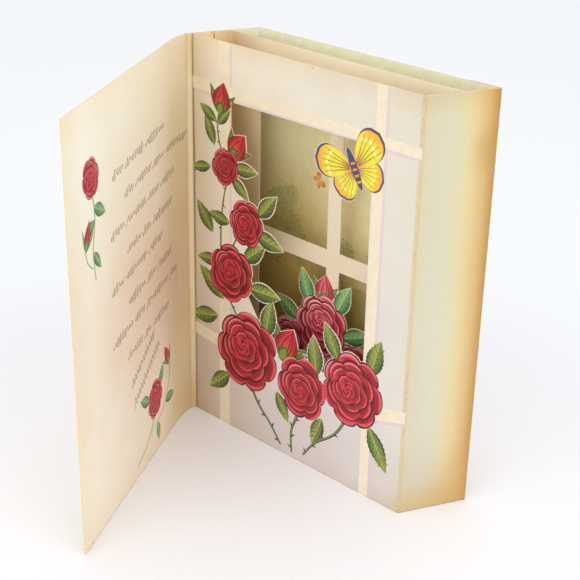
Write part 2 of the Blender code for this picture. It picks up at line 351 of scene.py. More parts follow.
# print of a leaf, as shares of its length and breadth
LEAF_FACE_SHARE = 0.86
LEAF_SPINE_SHARES = (0.75, 0.5, 0.25)
LEAF_BRIGHT_COVERS = (0.2, 0.6)
LEAF_BRIGHT_SHARES = (0.1, 0.6)
LEAF_DARK_COVER = 0.7
LEAF_DARK_SHARES = (0.5, 1.0)
LEAF_DARK_FOOT = 0.25
TOOTH_SHARE = 0.09
VEIN_SHARES = (0.2, 0.36, 0.52, 0.68)
VEIN_RUN_SHARE = 0.16
VEIN_REACH_SHARE = 0.36
VEIN_BEND_SHARE = 0.55
VEIN_SAG_SHARE = 0.01
VEIN_WIDTH_SHARE = 0.026
VEIN_SHADE_SHARE = 0.02
VEIN_LIGHT = 0.3
RIB_SHARES = (0.5, 0.94)
RIB_WIDTH_SHARE = 0.045
RIB_TAPER = 0.8
LINE_LIGHT = 0.7

# print of a bud: side and reach of each streak, places of its three points
BUD_LEVELS = (0.92, 0.7, 0.4)
BUD_STREAKS = ((-1, 0.62), (1, 0.5), (-1, 0.3))
BUD_STREAK_SHARES = (0.18, 0.55, 0.92)
BUD_STREAK_REACHES = (0.34, 0.30, 0.04)
BUD_STREAK_WIDTHS = (0.045, 0.04)
BUD_SHINE_SHARE = 0.07
STREAK_STEPS = 4
BUD_GLOW_COVER = 0.8
BUD_GLOW_SHARES = (0.75, 0.15)
BUD_LIT_COVER = 0.55
BUD_LIT_SWING = (-0.2, 0.7)
BUD_DARK_SWING = (0.35, 1.0)
BUD_DARK_FOOT = 0.15
SEPAL_FACE_SHARES = (0.9, 0.45)
CUP_SHARES = (0.42, 0.6)
CUP_FACE_SHARES = (0.36, 0.3)

# print of a stem, as shares of its width
STEM_STEPS = 5
STEM_TAPER = 0.3
FIRST_THORN = 2
THORN_STEP = 3
THORN_HALF_SHARE = 0.6
THORN_SHARE = 1.7
STEM_LIGHT_SHARES = (0.4, 0.14)

# print of the wings and of the butterfly's body
WING_LEVELS = (0.94, 0.70, 0.4)
WING_YELLOW_SHARES = (0.05, 0.4)
WING_ORANGE_SHARES = (0.66, 0.97)
WING_ORANGE_COVER = 0.9
VEIN_SPREADS = (-0.26, -0.13, 0, 0.13, 0.26)
VEIN_FAN = 1.9
WING_VEIN_SHARES = (0.12, 0.6, 0.84)
WING_VEIN_WIDTH = 0.028
WING_VEIN_COVER = 0.5
WING_FALL = 0.4
WING_SPOT_SHARES = (0.70, 0.05, 0.035)
WING_SPOT_PETALS = 4
WING_SPOT_LIGHT = 0.55
BODY_BAND_SHARES = (0.2, 0.34, 0.48, 0.62)
BODY_BAND_REACH = 0.3
BODY_BAND_WIDTH = 0.05

# cover of the printed bars and of their shadow lines
BAR_COVER = 0.92
BAR_SHADOW_COVER = 0.5

# tones along a blank and up it, and round patches: place in metres and screen colour
FRONT_ACROSS = (
    # the dark tones from 0.0092 to 0.0104 are a painted shadow line along the crease at the panel's
    # left edge
    (0, "EBD8B4"), (0.0092, "6E5636"), (0.0097, "9C845E"), (0.0104, "E0D3BC"),
    (0.0240, "ECE4DA"), (0.0600, "E8E5DC"), (0.1000, "E2E1DC"), (0.1366, "DDDBD0"),
    (0.1379, "CDB98C"), (0.1392, "D6CEB0"), (0.1450, "D4D2BA"),
    (0.1500, "D6D3BC"), (0.1570, "DCD4AA"), (0.1610, "DFCB96"), (0.1660, "D6B478"),
    (0.1705, "B98C4A"), (0.1740, "C29C60"), (0.1790, "DCC294"), (0.1865, "CBA970"),
)
FRONT_UP = (
    (0, "ECDCC8"), (0.012, "F8F0EC"), (0.040, "FFFCFC"), (0.100, "FFFEFA"),
    (0.180, "FFFBF2"), (0.190, "FAEED8"),
)
FRONT_PATCHES = (
    ((0.085, 0.010), 0.020, 0.064, 0.60, "D2CAD0"),
    ((0.122, 0.090), 0.002, 0.024, 0.40, "D6D2D4"),
    ((0.146, 0.0), 0.001, 0.018, 0.50, "D8B67A"),
    # painted shade low by the hinge, where the cover leaf shades the panel
    ((0.010, 0.030), 0.004, 0.070, 0.50, "B5A596"),
    # painted shade at the top of the panel by the hinge
    ((0.010, 0.186), 0.002, 0.030, 0.25, "D8C8A8"),
    ((0.158, 0.0), 0.001, 0.019, 0.50, "D2AC74"),
    ((0.172, 0.01), 0.004, 0.028, 0.35, "CDA264"),
    ((0.1715, 0.165), 0.001, 0.016, 0.55, "BC9250"),
)
FRONT_INSIDE = ((0, "FDF2D6"), (0.139, "F6EBD2"), (0.172, "EAD4A6"))
BACK_ACROSS = (
    # the dark tone at 0.0021 is a painted shadow line along the crease between the spine strip and
    # the left wall
    (0, "EADBBC"), (0.0016, "EEDFBE"), (0.0021, "8C7450"), (0.0026, "F0DCAE"),
    (0.020, "F6E6BC"), (0.034, "E8DCBC"), (0.163, "E8D8B4"),
)
BACK_UP = ((0, "EAD8B8"), (0.030, "F6ECDA"), (0.170, "FFFCF2"), (0.190, "F6EACC"))
BACK_OUTSIDE = (
    (0, "F0E2C4"), (0.0021, "E2CCA0"), (0.010, "F2E8D0"), (0.0345, "EADBBA"), (0.036, "E2CCA0"),
    (0.040, "F2E6CC"), (0.10, "F6EDD8"), (0.150, "EBDAB4"), (0.163, "DFC898"),
)
BACK_OUTSIDE_UP = (
    (0, "EBDABA"), (0.012, "F8F0E2"), (0.04, "FFFCF6"), (0.16, "FFFCF6"), (0.190, "F4E8CE"),
)
CREASE_ACROSS = ((0, "E4D4B0"), (0.001, "D8C49C"))
MIDDLE_ACROSS = (
    # darker tones by the left wall, up to 0.018: part print, part painted shade inside the box
    (0, "F4DFB6"), (0.010, "DCC09A"), (0.018, "E6D0B0"), (0.030, "F8ECD2"),
    (0.070, "FFF6E2"), (0.130, "FEF4DE"), (0.146, "EEDCB8"),
)
MIDDLE_UP = (
    (0, "CDB48C"), (0.050, "ECE0D0"), (0.110, "EFEBE4"), (0.150, "F4F0E8"), (0.190, "FFFFF8"),
)
LEAF_ACROSS = (
    # tan towards the hinge: part age toning, part painted shade where the leaf turns in towards the
    # panel
    (0, "D8C498"), (0.002, "E2CEA6"), (0.006, "E4D2AA"), (0.016, "EFE2C2"), (0.034, "FCF4E0"),
    (0.070, "FCF6E6"), (0.110, "FFFCF0"), (0.128, "FAF2DC"),
)
LEAF_UP = ((0, "FAF0E2"), (0.02, "FFFAF4"), (0.10, "FDF6EE"), (0.17, "FFFEFA"), (0.19, "FEF8EC"))
LEAF_PATCHES = (
    ((0.056, 0.085), 0.006, 0.056, 0.45, "F8D6BC"),
    # darker patch by the hinge: part toning, part painted shade
    ((0.010, 0.090), 0.006, 0.060, 0.35, "D4AC88"),
    ((0.120, 0.010), 0.002, 0.040, 0.30, "F4E8CC"),
    ((0.004, 0.186), 0.004, 0.050, 0.60, "F4E6CA"),
)
LEAF_OUTSIDE = ((0, "E4D0A8"), (0.03, "EFE4CA"), (0.10, "F4EBD4"), (0.128, "E8D4AA"))

# grain patterns: scale, detail and roughness of the noise, then the part of it that counts
BLOTCH_GRAIN = (26, 3, 0.6, 0.38, 0.72)
STREAK_GRAIN = (130, 5, 0.6, 0.3, 0.7)
SPECK_GRAIN = (420, 2, 0.5, 0.74, 0.80)
MOTTLE_GRAIN = (900, 4, 0.6, 0.25, 0.75)
WASH_GRAIN = (210, 3, 0.6, 0.3, 0.7)
PORE_GRAIN = (1500, 2, 0.6, 0.2, 0.42)
BROKEN_GRAIN = (210, 4, 0.7, 0.36, 0.66)
NICK_GRAIN = (430, 2, 0.6, 0.60, 0.68)
CORE_GRAIN = (1400, 5, 0.75, 0.3, 0.7)
CORE_BLOTCH_GRAIN = (60, 3, 0.6, 0.35, 0.7)
CORE_GLOSS_GRAIN = (900, 3, 0.6, 0.3, 0.7)
POOL_GRAIN = (320, 4, 0.6, 0.3, 0.7)
PEN_GLOSS_GRAIN = (800, 3, 0.6, 0.3, 0.7)
FLOOR_GRAIN = (240, 3, 0.6, 0.3, 0.7)
FIBRE_DETAIL = 4
FIBRE_ROUGHNESS = 0.6

# material slots of a sheet: its printed face, its plain face and its cut edge
PRINT_SLOT = 0
PLAIN_SLOT = 1
EDGE_SLOT = 2

# places of the colour sockets on a mix node
COLOUR_INPUTS = (6, 7)
COLOUR_OUTPUT = 2

# what the grain does to the card and its print, as the values that it runs between
FIBRE_PALES = (0.25, 0.75, 0.955, 1.0)
STREAK_COVER = 0.08
SPECK_COVER = 0.5
MOTTLE_RANGE = (0.96, 1.03)
WASH_RANGE = (0.95, 1.03)
PORE_RANGE = (0.94, 1.0)
BROKEN_RANGE = (0.12, 0.5)
NICK_COVER = 0.7
GLOSS_SWING = 0.08
CORE_BLOTCH_COVER = 0.6
ROUGHEST = 0.95

# garden wash of the back panel, as shares of the height from its left edge:
# place, size and number of dabs of each clump of leaves
GARDEN_CLUMP_SHARES = (
    (0.102, 0.520, 0.044, 34),
    (0.080, 0.580, 0.036, 26),
    (0.110, 0.612, 0.024, 14),
    (0.140, 0.478, 0.040, 28),
    (0.060, 0.470, 0.044, 30),
    (0.262, 0.470, 0.034, 22),
    (0.290, 0.515, 0.026, 16),
    (0.250, 0.430, 0.040, 24),
    (0.400, 0.500, 0.040, 26),
    (0.430, 0.560, 0.030, 18),
    (0.455, 0.470, 0.040, 24),
    (0.560, 0.460, 0.044, 28),
)
GARDEN_HEDGE_SHARES = (
    (0, 0.39), (0.08, 0.42), (0.2, 0.40), (0.34, 0.43), (0.5, 0.40), (0.668, 0.44),
)
GARDEN_LAWN_SHARES = ((0, 0.28), (0.2, 0.31), (0.42, 0.29), (0.668, 0.33))
GARDEN_PATH_SHARES = ((0.44, 0.31), (0.52, 0.22), (0.46, 0.12), (0.52, 0))

# tones of the garden up the sheet in metres: painted shade at its left and painted light at its right
GARDEN_DIM = (
    (0, "A08038"), (0.050, "B49444"), (0.080, "CAAA54"), (0.105, "D6BE78"),
    (0.130, "DDD29C"), (0.160, "F0ECBE"), (0.175, "F4F4CE"), (0.190, "F4F8DA"),
)
GARDEN_LIT = (
    (0, "DCBC78"), (0.050, "E6CC88"), (0.080, "F0DC9C"), (0.105, "F8EAB4"),
    (0.130, "FCF2C2"), (0.160, "FAF4C8"), (0.175, "F6F4CE"), (0.190, "F4F6D6"),
)
GARDEN_LIT_SHARES = (0.12, 0.32)
GARDEN_ROWS = 14
GARDEN_COLUMNS = 6

# tree crowns of the garden and the dabs that they are made of
DAB_TONES = ("4E7038", "6E9450", "8CB06C", "5E8040", "3E5C2C")
CROWN_TONE = "7C9A5C"
CROWN_COVERS = ((1.15, 0.20), (0.85, 0.28), (0.55, 0.30))
CROWN_PETALS = 9
DAB_SHARE = 0.12
DAB_COVER = 0.50
DAB_POINTS = 7
DAB_CROWD = 2.6

# small butterfly over the garden: place, then spread and length of each wing
MOTH_PLACE = (0.200, 0.668)
MOTH_HEADING = 35
MOTH_WINGS = ((52, 0.024), (118, 0.017))
MOTH_TONES = ("D8762E", "F0A048")

# cover and tone of the garden's grounds, its path and its dabs
SKY_COVER = 0.92
HEDGE_VEIL = ("A0923C", 0.30)
LAWN_VEIL = ("C4A648", 0.50)
PATH_VEIL = ("E6D29A", 0.5)
PATH_WIDTH_SHARE = 0.06
PATH_TAPER = -0.8
DAB_ROUGHNESS = (0.65, 1)
DAB_FLATNESS = 0.55
DAB_REACH = 1.25
DAB_CROWDING = 0.7
DAB_SIZES = (0.5, 1.3)
MOTH_LEVELS = (1, 0.7)
MOTH_WING_SHARE = 0.62
MOTH_COVER = 0.9

# crease between the spine strip and the cover leaf
CREASE_LAP = 0.0002
CREASE_STOCK = 0.00036
CREASE_INSET = 0.0001

# sprigs of the cover leaf, as shares of the height from its hinge: bloom, bud, stem and leaves
SPRIG_BLOOMS = ((0.548, 0.838, 0.044, 6, 20), (0.226, 0.150, 0.050, 7, 60))
SPRIG_BUDS = ((0.590, 0.690, 0.070, 112), (0.124, 0.196, 0.070, 62))
SPRIG_STEMS = (
    (((0.548, 0.820), (0.536, 0.750), (0.552, 0.680), (0.545, 0.610)), 0.0052),
    (((0.592, 0.694), (0.582, 0.664), (0.556, 0.640)), 0.0040),
    (((0.228, 0.130), (0.248, 0.090), (0.290, 0.052), (0.352, 0.030)), 0.0054),
    (((0.124, 0.200), (0.130, 0.150), (0.176, 0.092), (0.262, 0.070)), 0.0042),
)
SPRIG_LEAVES = (
    (0.540, 0.772, 0.068, 0.032, 208),
    (0.538, 0.744, 0.066, 0.030, -28),
    (0.552, 0.676, 0.062, 0.026, 232),
    (0.262, 0.160, 0.070, 0.032, 28),
    (0.196, 0.168, 0.060, 0.028, 118),
    (0.160, 0.108, 0.066, 0.030, 186),
    (0.214, 0.078, 0.058, 0.026, 262),
)
SPRIG_ROSE = ("86101E", "A81C2C", "CE3446", "E4727C", "F6B4B4")
SPRIG_GREEN = ("3E6B40", "5E8E58", "88B07C", "B4CFA0")
SPRIG_BUD_SHARE = 0.42
SPRIG_SEPAL_SHARES = (0.8, 0.14)

# pen strokes, as shares of the height from the hinge of the leaf: start, level and strokes of a line
PEN_LINES = (
    (0.436, 0.800, (0.060, 0.105, 0.120)),
    (0.372, 0.738, (0.050, 0.094, 0.070, 0.110)),
    (0.456, 0.668, (0.074, 0.120, 0.066, 0.090)),
    (0.368, 0.604, (0.082, 0.050, 0.124)),
    (0.462, 0.540, (0.066, 0.130, 0.086)),
    (0.372, 0.478, (0.104, 0.056, 0.092)),
    (0.468, 0.412, (0.118, 0.060, 0.140, 0.050)),
    (0.384, 0.346, (0.090, 0.044, 0.102)),
)
PEN_GAP = 0.014
PEN_SLOPE = 0.06
PEN_STEP = 0.0003
FLOURISHES = (
    ((0.370, 0.262), (0.220, 0.330)),
    ((0.360, 0.205), (0.190, 0.290)),
)

# waves of the pen: noise, how much it swells a wave, and the slant of the hand
PEN_NOISE_SCALE = 170
PEN_NOISE_RANGE = (0.3, 0.7)
PEN_SWELL = (0.25, 1.6)
PEN_SLANT = 0.55
PEN_POOL_TONE = "94765A"
PEN_POOL_COVER = 0.55
PEN_GLOSS = (0.45, 0.7)
PEN_RELIEF = 0.2
PEN_RELIEF_DEPTH = 0.00002

# camera and studio
CAMERA_PLACE = (0.35059046, -0.34634344, 0.33802733)
CAMERA_AIM = (-0.03381557, 0.0434, 0.0774391)
CAMERA_ROLL = radians(0.393)
CAMERA_LENS = 82.065
CAMERA_SHIFT = 0.06897
FLOOR_REACH = 4
FLOOR_SIDES = 64
KEY_PLACE = (0.95, -0.12, 0.70)
FILL_PLACE = (0.15, -1.05, 0.42)
LAMP_AIM = (0, 0, 0.08)
KEY_SIZE = 0.9
FILL_SIZE = 1.1
KEY_TONE = "FFFDF8"
FILL_TONE = "FAFBFF"
SENSOR_WIDTH = 36

# tones of the floor, the sky and the backdrop, and distances from the card
FAR_FLOOR_TONE = "E4E6EA"
FLOOR_DUST_TONE = "DDD8D4"
FLOOR_DUST_COVER = 0.02
FLOOR_GLOW_TONES = ("F9FBFE", "F4F6FA")
FLOOR_NEAR = (0.10, 0.35)
FLOOR_SEEN = (0.11, 0.30)
FLOOR_FAR = (0.3, 0.9)
FLOOR_ROUGHNESS = 0.9
FLOOR_GLOSS = 0.1
SKY_TONE = "FBFBFF"
BACKDROP_TONE = "F6F7FB"


def tone(code):
    """Screen colour from six hexadecimal digits."""
    return tuple(int(code[place:place + 2], 16) / 255 for place in (0, 2, 4))


def palette(codes):
    return [tone(code) for code in codes]


def linear(colour):
    """Light values of a screen colour."""
    return tuple(
        value / 12.92 if value <= 0.04045 else ((value + 0.055) / 1.055) ** 2.4
        for value in colour
    )


def mixed(first, second, share):
    share = min(max(share, 0), 1)
    return tuple(a + (b - a) * share for a, b in zip(first, second))


def smooth(low, high, value):
    share = min(max((value - low) / (high - low), 0), 1)
    return share * share * (3 - 2 * share)


def heading(angle):
    return Vector((cos(angle), sin(angle)))


def axes_at(angle):
    """Directions along a shape that has a heading, and across it."""
    return heading(angle), heading(angle + pi * HALF)


def wrapped(angle):
    """The same angle between minus half a turn and half a turn."""
    return (angle + pi) % tau - pi


# plan of the folded sheets, as the solids have it

def skewed(across, deep):
    return Vector((across + deep * sin(WALL_LEAN), deep * cos(WALL_LEAN)))


INSET = STOCK * HALF / cos(WALL_LEAN)
LAP_INSET = LAP / cos(WALL_LEAN)
MIDDLE_PLACE = WALL_DEPTH * MIDDLE_PLACE_SHARE
MIDDLE_TAB = MIDDLE_PLACE * MIDDLE_TAB_SHARE
FRONT_TAB = MIDDLE_PLACE - MIDDLE_TAB - TAB_CLEARANCE


def front_path():
    left = INSET
    right = PANEL_WIDTH - INSET
    rear = WALL_DEPTH - INSET
    return [
        skewed(left, FRONT_TAB),
        skewed(left, INSET),
        skewed(right, INSET),
        skewed(right, rear),
        skewed(right - REAR_TAB, rear),
    ]


def spine_corner():
    return skewed(-LAP_INSET - INSET, INSET)


def hinge_point():
    return spine_corner() + heading(STRIP_HEADING) * STRIP_WIDTH


def back_path():
    left = -LAP_INSET - INSET
    rear = WALL_DEPTH - INSET - INSET - INSET - LAP_INSET
    end = PANEL_WIDTH - INSET - INSET - LAP_INSET - LAP_INSET
    return [
        hinge_point() - heading(STRIP_HEADING) * CREASE_GAP,
        spine_corner(),
        skewed(left, rear),
        skewed(end, rear),
    ]


def middle_path():
    left = INSET
    right = PANEL_WIDTH - INSET - INSET - INSET - LAP_INSET
    tab_end = MIDDLE_PLACE - MIDDLE_TAB
    return [
        skewed(left, tab_end),
        skewed(left, MIDDLE_PLACE),
        skewed(PANEL_WIDTH * BEND_PLACE_SHARE, MIDDLE_PLACE - BEND_RISE),
        skewed(right, MIDDLE_PLACE),
        skewed(right, tab_end),
    ]


def leaf_path():
    turn = -LEAF_OPEN - ROOT_TURN
    point = hinge_point() + heading(turn) * CREASE_GAP
    path = [point]
    step = (ROOT_LENGTH - CREASE_GAP) / ROOT_STEPS
    for _ in range(ROOT_STEPS):
        turn += ROOT_TURN * HALF / ROOT_STEPS
        point = point + heading(turn) * step
        path.append(point)
        turn += ROOT_TURN * HALF / ROOT_STEPS
    path.append(point + heading(turn) * (LEAF_WIDTH - ROOT_LENGTH))
    return path


def crease_marks(path):
    """Distance along the sheet of every point of its plan path."""
    marks = [0]
    for here, there in zip(path, path[1:]):
        marks.append(marks[-1] + (there - here).length)
    return marks


def side_normal(path, index):
    run = (path[index + 1] - path[index]).normalized()
    return Vector((run[1], -run[0]))


def folded_point(path, marks, mark, offset):
    """Plan point at a distance from the middle of the card, mitred on a crease."""
    last = len(path) - 1
    for index, crease in enumerate(marks):
        if abs(mark - crease) < STOCK * SAME_SHARE:
            before = side_normal(path, max(index - 1, 0))
            after = side_normal(path, min(index, last - 1))
            mitre = (before + after) / (1 + before.dot(after))
            return path[index] + mitre * offset
    index = max(number for number in range(last) if marks[number] < mark)
    share = (mark - marks[index]) / (marks[index + 1] - marks[index])
    middle = path[index].lerp(path[index + 1], share)
    return middle + side_normal(path, index) * offset


def plan_centre():
    points = []
    for path in (front_path(), back_path(), middle_path(), leaf_path()):
        marks = crease_marks(path)
        for mark in marks:
            for side in (1, -1):
                points.append(folded_point(path, marks, mark, side * STOCK * HALF))
    lows = [min(point[axis] for point in points) for axis in (0, 1)]
    highs = [max(point[axis] for point in points) for axis in (0, 1)]
    return (Vector(lows) + Vector(highs)) * HALF


# flat outlines on a blank

def panel_point(start, shares):
    return Vector((start + shares[0] * PANEL_WIDTH, shares[1] * HEIGHT))


def height_point(start, shares):
    """Point of a blank whose two shares are both of the height."""
    return Vector((start + shares[0] * HEIGHT, shares[1] * HEIGHT))


def height_points(start, rows):
    return [height_point(start, shares) for shares in rows]


def box_outline(left, right, low, high):
    return [Vector((left, low)), Vector((right, low)), Vector((right, high)), Vector((left, high))]


def tab_outline(end, snip):
    """A blank from zero to its end, with the corners of its glue tabs snipped off."""
    return [
        Vector((0, snip)),
        Vector((snip, 0)),
        Vector((end - snip, 0)),
        Vector((end, snip)),
        Vector((end, HEIGHT - snip)),
        Vector((end - snip, HEIGHT)),
        Vector((snip, HEIGHT)),
        Vector((0, HEIGHT - snip)),
    ]


def petal_reach(radius, petals, turn):
    """How far a ring of petals reaches in each direction."""
    def reach(angle):
        local = angle - turn
        lobe = abs(sin(local * petals * HALF)) ** PETAL_ROUNDNESS
        sway = PETAL_SWAY_SHARE * sin(local * SWAY_TURNS)
        return radius * (1 + sway - PETAL_DIP_SHARE * (1 - lobe))
    return reach


def bloom_outline(centre, radius, petals, turn):
    reach = petal_reach(radius, petals, turn)
    count = petals * PETAL_STEPS
    angles = [turn + tau * index / count for index in range(count)]
    return [centre + heading(angle) * reach(angle) for angle in angles]


def blade_outline(foot, length, breadth, angle, belly, roundness, steps=LEAF_STEPS):
    along, across = axes_at(angle)
    sides = ([], [])
    for index in range(1, steps):
        share = index / steps
        reach = breadth * HALF * sin(pi * share ** belly) ** roundness
        middle = foot + along * (length * share)
        sides[0].append(middle - across * reach)
        sides[1].append(middle + across * reach)
    return [foot] + sides[0] + [foot + along * length] + sides[1][::-1]


def leaf_shape(start, shares, grow):
    """Foot, length, breadth and heading of a leaf that is grown all round."""
    *place, length, breadth, turn = shares
    angle = radians(turn)
    foot = panel_point(start, place) - heading(angle) * grow
    return foot, length * HEIGHT + grow + grow, breadth * HEIGHT + grow + grow, angle


def bud_shapes(start, shares, grow):
    """Shapes of a bud and of its two sepals."""
    *place, length, angle = shares
    shapes = [leaf_shape(start, (*place, length, length * BUD_WIDTH_SHARE, angle), grow)]
    for opening in (-SEPAL_SPREAD, SEPAL_SPREAD):
        shapes.append((
            panel_point(start, place),
            length * HEIGHT * SEPAL_LENGTH_SHARE,
            length * HEIGHT * SEPAL_WIDTH_SHARE + grow,
            radians(angle) + opening,
        ))
    return shapes


def wing_shapes(start, grow):
    """Foot, length, breadth and heading of each wing, and of the body."""
    body = panel_point(start, BUTTERFLY_SHARES)
    shapes = []
    for size, opening in ((FORE_WING_SHARES, FORE_WING_SPREAD), (HIND_WING_SHARES, HIND_WING_SPREAD)):
        for side in (-1, 1):
            length, breadth = (share * HEIGHT + grow for share in size)
            shapes.append((body, length, breadth, BUTTERFLY_HEADING + side * opening))
    length, breadth = (share * HEIGHT + grow for share in BUTTERFLY_BODY_SHARES)
    tail = body - heading(BUTTERFLY_HEADING) * (length * HALF)
    return shapes, (tail, length, breadth, BUTTERFLY_HEADING)


def bouquet_outlines(start, ground, blooms, leaves, buds):
    outlines = [[panel_point(start, shares) for shares in ground]]
    for *place, radius, petals, turn in blooms:
        centre = panel_point(start, place)
        reach = radius * HEIGHT + CUT_MARGIN
        outlines.append(bloom_outline(centre, reach, petals, radians(turn)))
    for shares in leaves:
        outlines.append(blade_outline(*leaf_shape(start, shares, CUT_MARGIN), LEAF_BELLY, 1))
    for shares in buds:
        for shape in bud_shapes(start, shares, CUT_MARGIN):
            outlines.append(blade_outline(*shape, LEAF_BELLY, 1))
    return outlines


def butterfly_outlines(start):
    wings, body = wing_shapes(start, CUT_MARGIN)
    outlines = [blade_outline(*body, 1, WING_ROUNDNESS)]
    for shape in wings:
        outlines.append(blade_outline(*shape, WING_BELLY, WING_ROUNDNESS))
    return outlines


def pane_outlines(start):
    left = start + PANE_SIDE
    right = start + PANEL_WIDTH - PANE_SIDE
    low = PANE_BOTTOM
    high = HEIGHT - PANE_TOP
    upright = (left + right) * HALF
    level = (low + high) * HALF
    columns = ((left, upright - UPRIGHT_BAR * HALF), (upright + UPRIGHT_BAR * HALF, right))
    rows = ((low, level - LEVEL_BAR * HALF), (level + LEVEL_BAR * HALF, high))
    return [box_outline(*column, *row) for column in columns for row in rows]


# print: a layer is an outline and a rule that gives the ink at a point

def plain_ink(colour, cover=1):
    def paint(point):
        return (*colour, cover)
    return paint


def veiled_ink(under, colour, share):
    """Ink of another layer with a share of one colour over it."""
    def paint(point):
        red, green, blue, cover = under(point)
        return (*mixed((red, green, blue), colour, share), cover)
    return paint


def washed(colour, washes):
    """Full ink of a colour under washes, each of them a colour and its share."""
    for wash, share in washes:
        colour = mixed(colour, wash, share)
    return (*colour, 1)


def smooth_line(points, steps=LINE_STEPS):
    """Points of a smooth curve through the given ones."""
    padded = [points[0] * 2 - points[1], *points, points[-1] * 2 - points[-2]]
    line = []
    for index in range(1, len(padded) - 2):
        before, here, there, after = padded[index - 1:index + 3]
        for step in range(steps):
            t = step / steps
            line.append((
                here * 2
                + (there - before) * t
                + (before * 2 - here * 5 + there * 4 - after) * t ** 2
                + (here * 3 - before - there * 3 + after) * t ** 3
            ) * HALF)
    line.append(points[-1])
    return line


def ribbon_outline(line, width, taper=VEIN_TAPER):
    """Closed outline of a stroke along a line, thinner at its end."""
    sides = ([], [])
    last = len(line) - 1
    for index, point in enumerate(line):
        run = (line[min(index + 1, last)] - line[max(index - 1, 0)]).normalized()
        across = Vector((-run[1], run[0]))
        reach = width * HALF * (1 - taper * index / last)
        sides[0].append(point - across * reach)
        sides[1].append(point + across * reach)
    return sides[0] + sides[1][::-1]


def petal_outline(centre, rim, middle, half, base, level, steps):
    """Outline of a petal from its base up to a share of its rim."""
    ring = []
    for step in range(steps + 1):
        t = 2 * step / steps - 1
        ring.append(centre + heading(middle + half * t) * (rim(t) * level))
    for side in (1, -1):
        for share in SIDE_SHARES[::side]:
            reach = base + (1 - base) * share
            narrow = PETAL_NARROW + (1 - PETAL_NARROW) * share
            length = rim(side * narrow) * reach * level
            ring.append(centre + heading(middle + side * half * narrow) * length)
    return ring


def petal_place(centre, rim, middle, half):
    """Rule for where a point lies in a petal: from its left corner, -1, to 1, and outwards."""
    def place(point):
        arm = point - centre
        swing = wrapped(atan2(arm[1], arm[0]) - middle) / half
        return swing, arm.length / rim(min(max(swing, -1), 1))
    return place


def petal_ink(petal, tones, light, under):
    """Ink of a petal: dark at its base, light towards its rim and on its lit side."""
    shadow, deep, body, bright = tones[:4]
    low, high = (under + share for share in BODY_SHARES)
    place = petal_place(*petal)

    def paint(point):
        swing, out = place(point)
        return washed(shadow, (
            (deep, smooth(under, under + SHADOW_SHARE, out)),
            (body, smooth(low, high, out)),
            (bright, light * smooth(*LIT_SHARES, out) * smooth(*LIT_SWING, swing)),
            (deep, DARK_COVER * smooth(*DARK_SWING, -swing)),
        ))
    return paint


def roll_outline(centre, rim, middle, half, low, high, width, steps):
    """Crescent of a rim that is rolled back."""
    outer = []
    inner = []
    for step in range(steps + 1):
        share = step / steps
        t = low + (high - low) * share
        way = heading(middle + half * t) * (rim(t) * ROLL_INSET)
        outer.append(centre + way)
        if 0 < step < steps:
            inner.append(centre + way * (1 - width * sin(pi * share) ** ROLL_ROUNDNESS))
    return outer + inner[::-1]


def roll_ink(petal, tones, light):
    body, bright, edge = tones[2:]
    place = petal_place(*petal)

    def paint(point):
        _, out = place(point)
        return washed(body, (
            (bright, smooth(*ROLL_BRIGHT_SHARES, out)),
            (edge, light * smooth(*ROLL_EDGE_SHARES, out)),
        ))
    return paint


def petal_rim(reach, middle, half, size):
    """How far the rim of one petal reaches, from -1 at its left corner to 1 at its right."""
    def rim(t):
        return reach(middle + half * t) * size * (1 - PETAL_CORNER * abs(t) ** PETAL_CORNER_POWER)
    return rim


def petal_layers(petal, tones, under, steps, width, left_roll):
    """One petal: three steps of shade, then a rolled rim with a dark line under it."""
    light = LEAST_LIGHT + (1 - LEAST_LIGHT) * max(0, cos(petal[2] - LIGHT_ANGLE))
    ink = petal_ink(petal, tones, light, under)
    for level in SHADE_LEVELS:
        share = under + (1 - under) * level
        yield petal_outline(*petal, under * PETAL_BASE, share, steps), ink
    low, high = ROLL_REACH if left_roll else (-ROLL_REACH[1], -ROLL_REACH[0])
    dark = roll_outline(*petal, low, high, width * ROLL_SHADE_SHARE, steps)
    yield dark, veiled_ink(ink, tones[1], ROLL_SHADE_COVER)
    roll = roll_outline(*petal, low, high, width, steps)
    yield roll, roll_ink(petal, tones, light)


def bloom_layers(centre, radius, petals, turn, tones):
    """A round bloom from above: rings of petals with rolled rims about a tight heart."""
    chance = Random(round(turn * SEED_SCALE) + petals)
    yield bloom_outline(centre, radius, petals, turn), plain_ink(tones[0])
    shift = heading(turn * SHIFT_TURNS + LIGHT_ANGLE)
    sizes = [row[0] for row in WHORL_SHARES] + [0]
    for number, (size, fewer, away, twist) in enumerate(WHORL_SHARES):
        spot = centre + shift * (radius * away)
        count = max(petals - fewer, FEWEST_PETALS)
        bend = turn + twist
        reach = petal_reach(radius * size, count, bend)
        if number:
            seam = bloom_outline(spot, radius * size * SEAM_SHARE, count, bend)
            yield seam, plain_ink(tones[0])
        under = sizes[number + 1] / size * UNDER_SHARE
        steps = max(round(RIM_STEPS * size), FEWEST_STEPS)
        slim = min(1, SHORT_PETAL_SHARES[0] / (1 - under) + SHORT_PETAL_SHARES[1])
        for index in [*range(0, count, 2), *range(1, count, 2)]:
            middle = bend + (index + HALF) * tau / count
            half = pi / count * PETAL_OVERLAP * chance.uniform(*PETAL_WIDTHS)
            rim = petal_rim(reach, middle, half, chance.uniform(*PETAL_LENGTHS))
            width = ROLL_SHARE * chance.uniform(*ROLL_WIDTHS) * slim
            petal = (spot, rim, middle, half)
            yield from petal_layers(petal, tones, under, steps, width, index % 2)
    heart = centre + shift * (radius * WHORL_SHARES[-1][2])
    yield from heart_layers(heart, radius * HEART_SHARE, turn, tones)


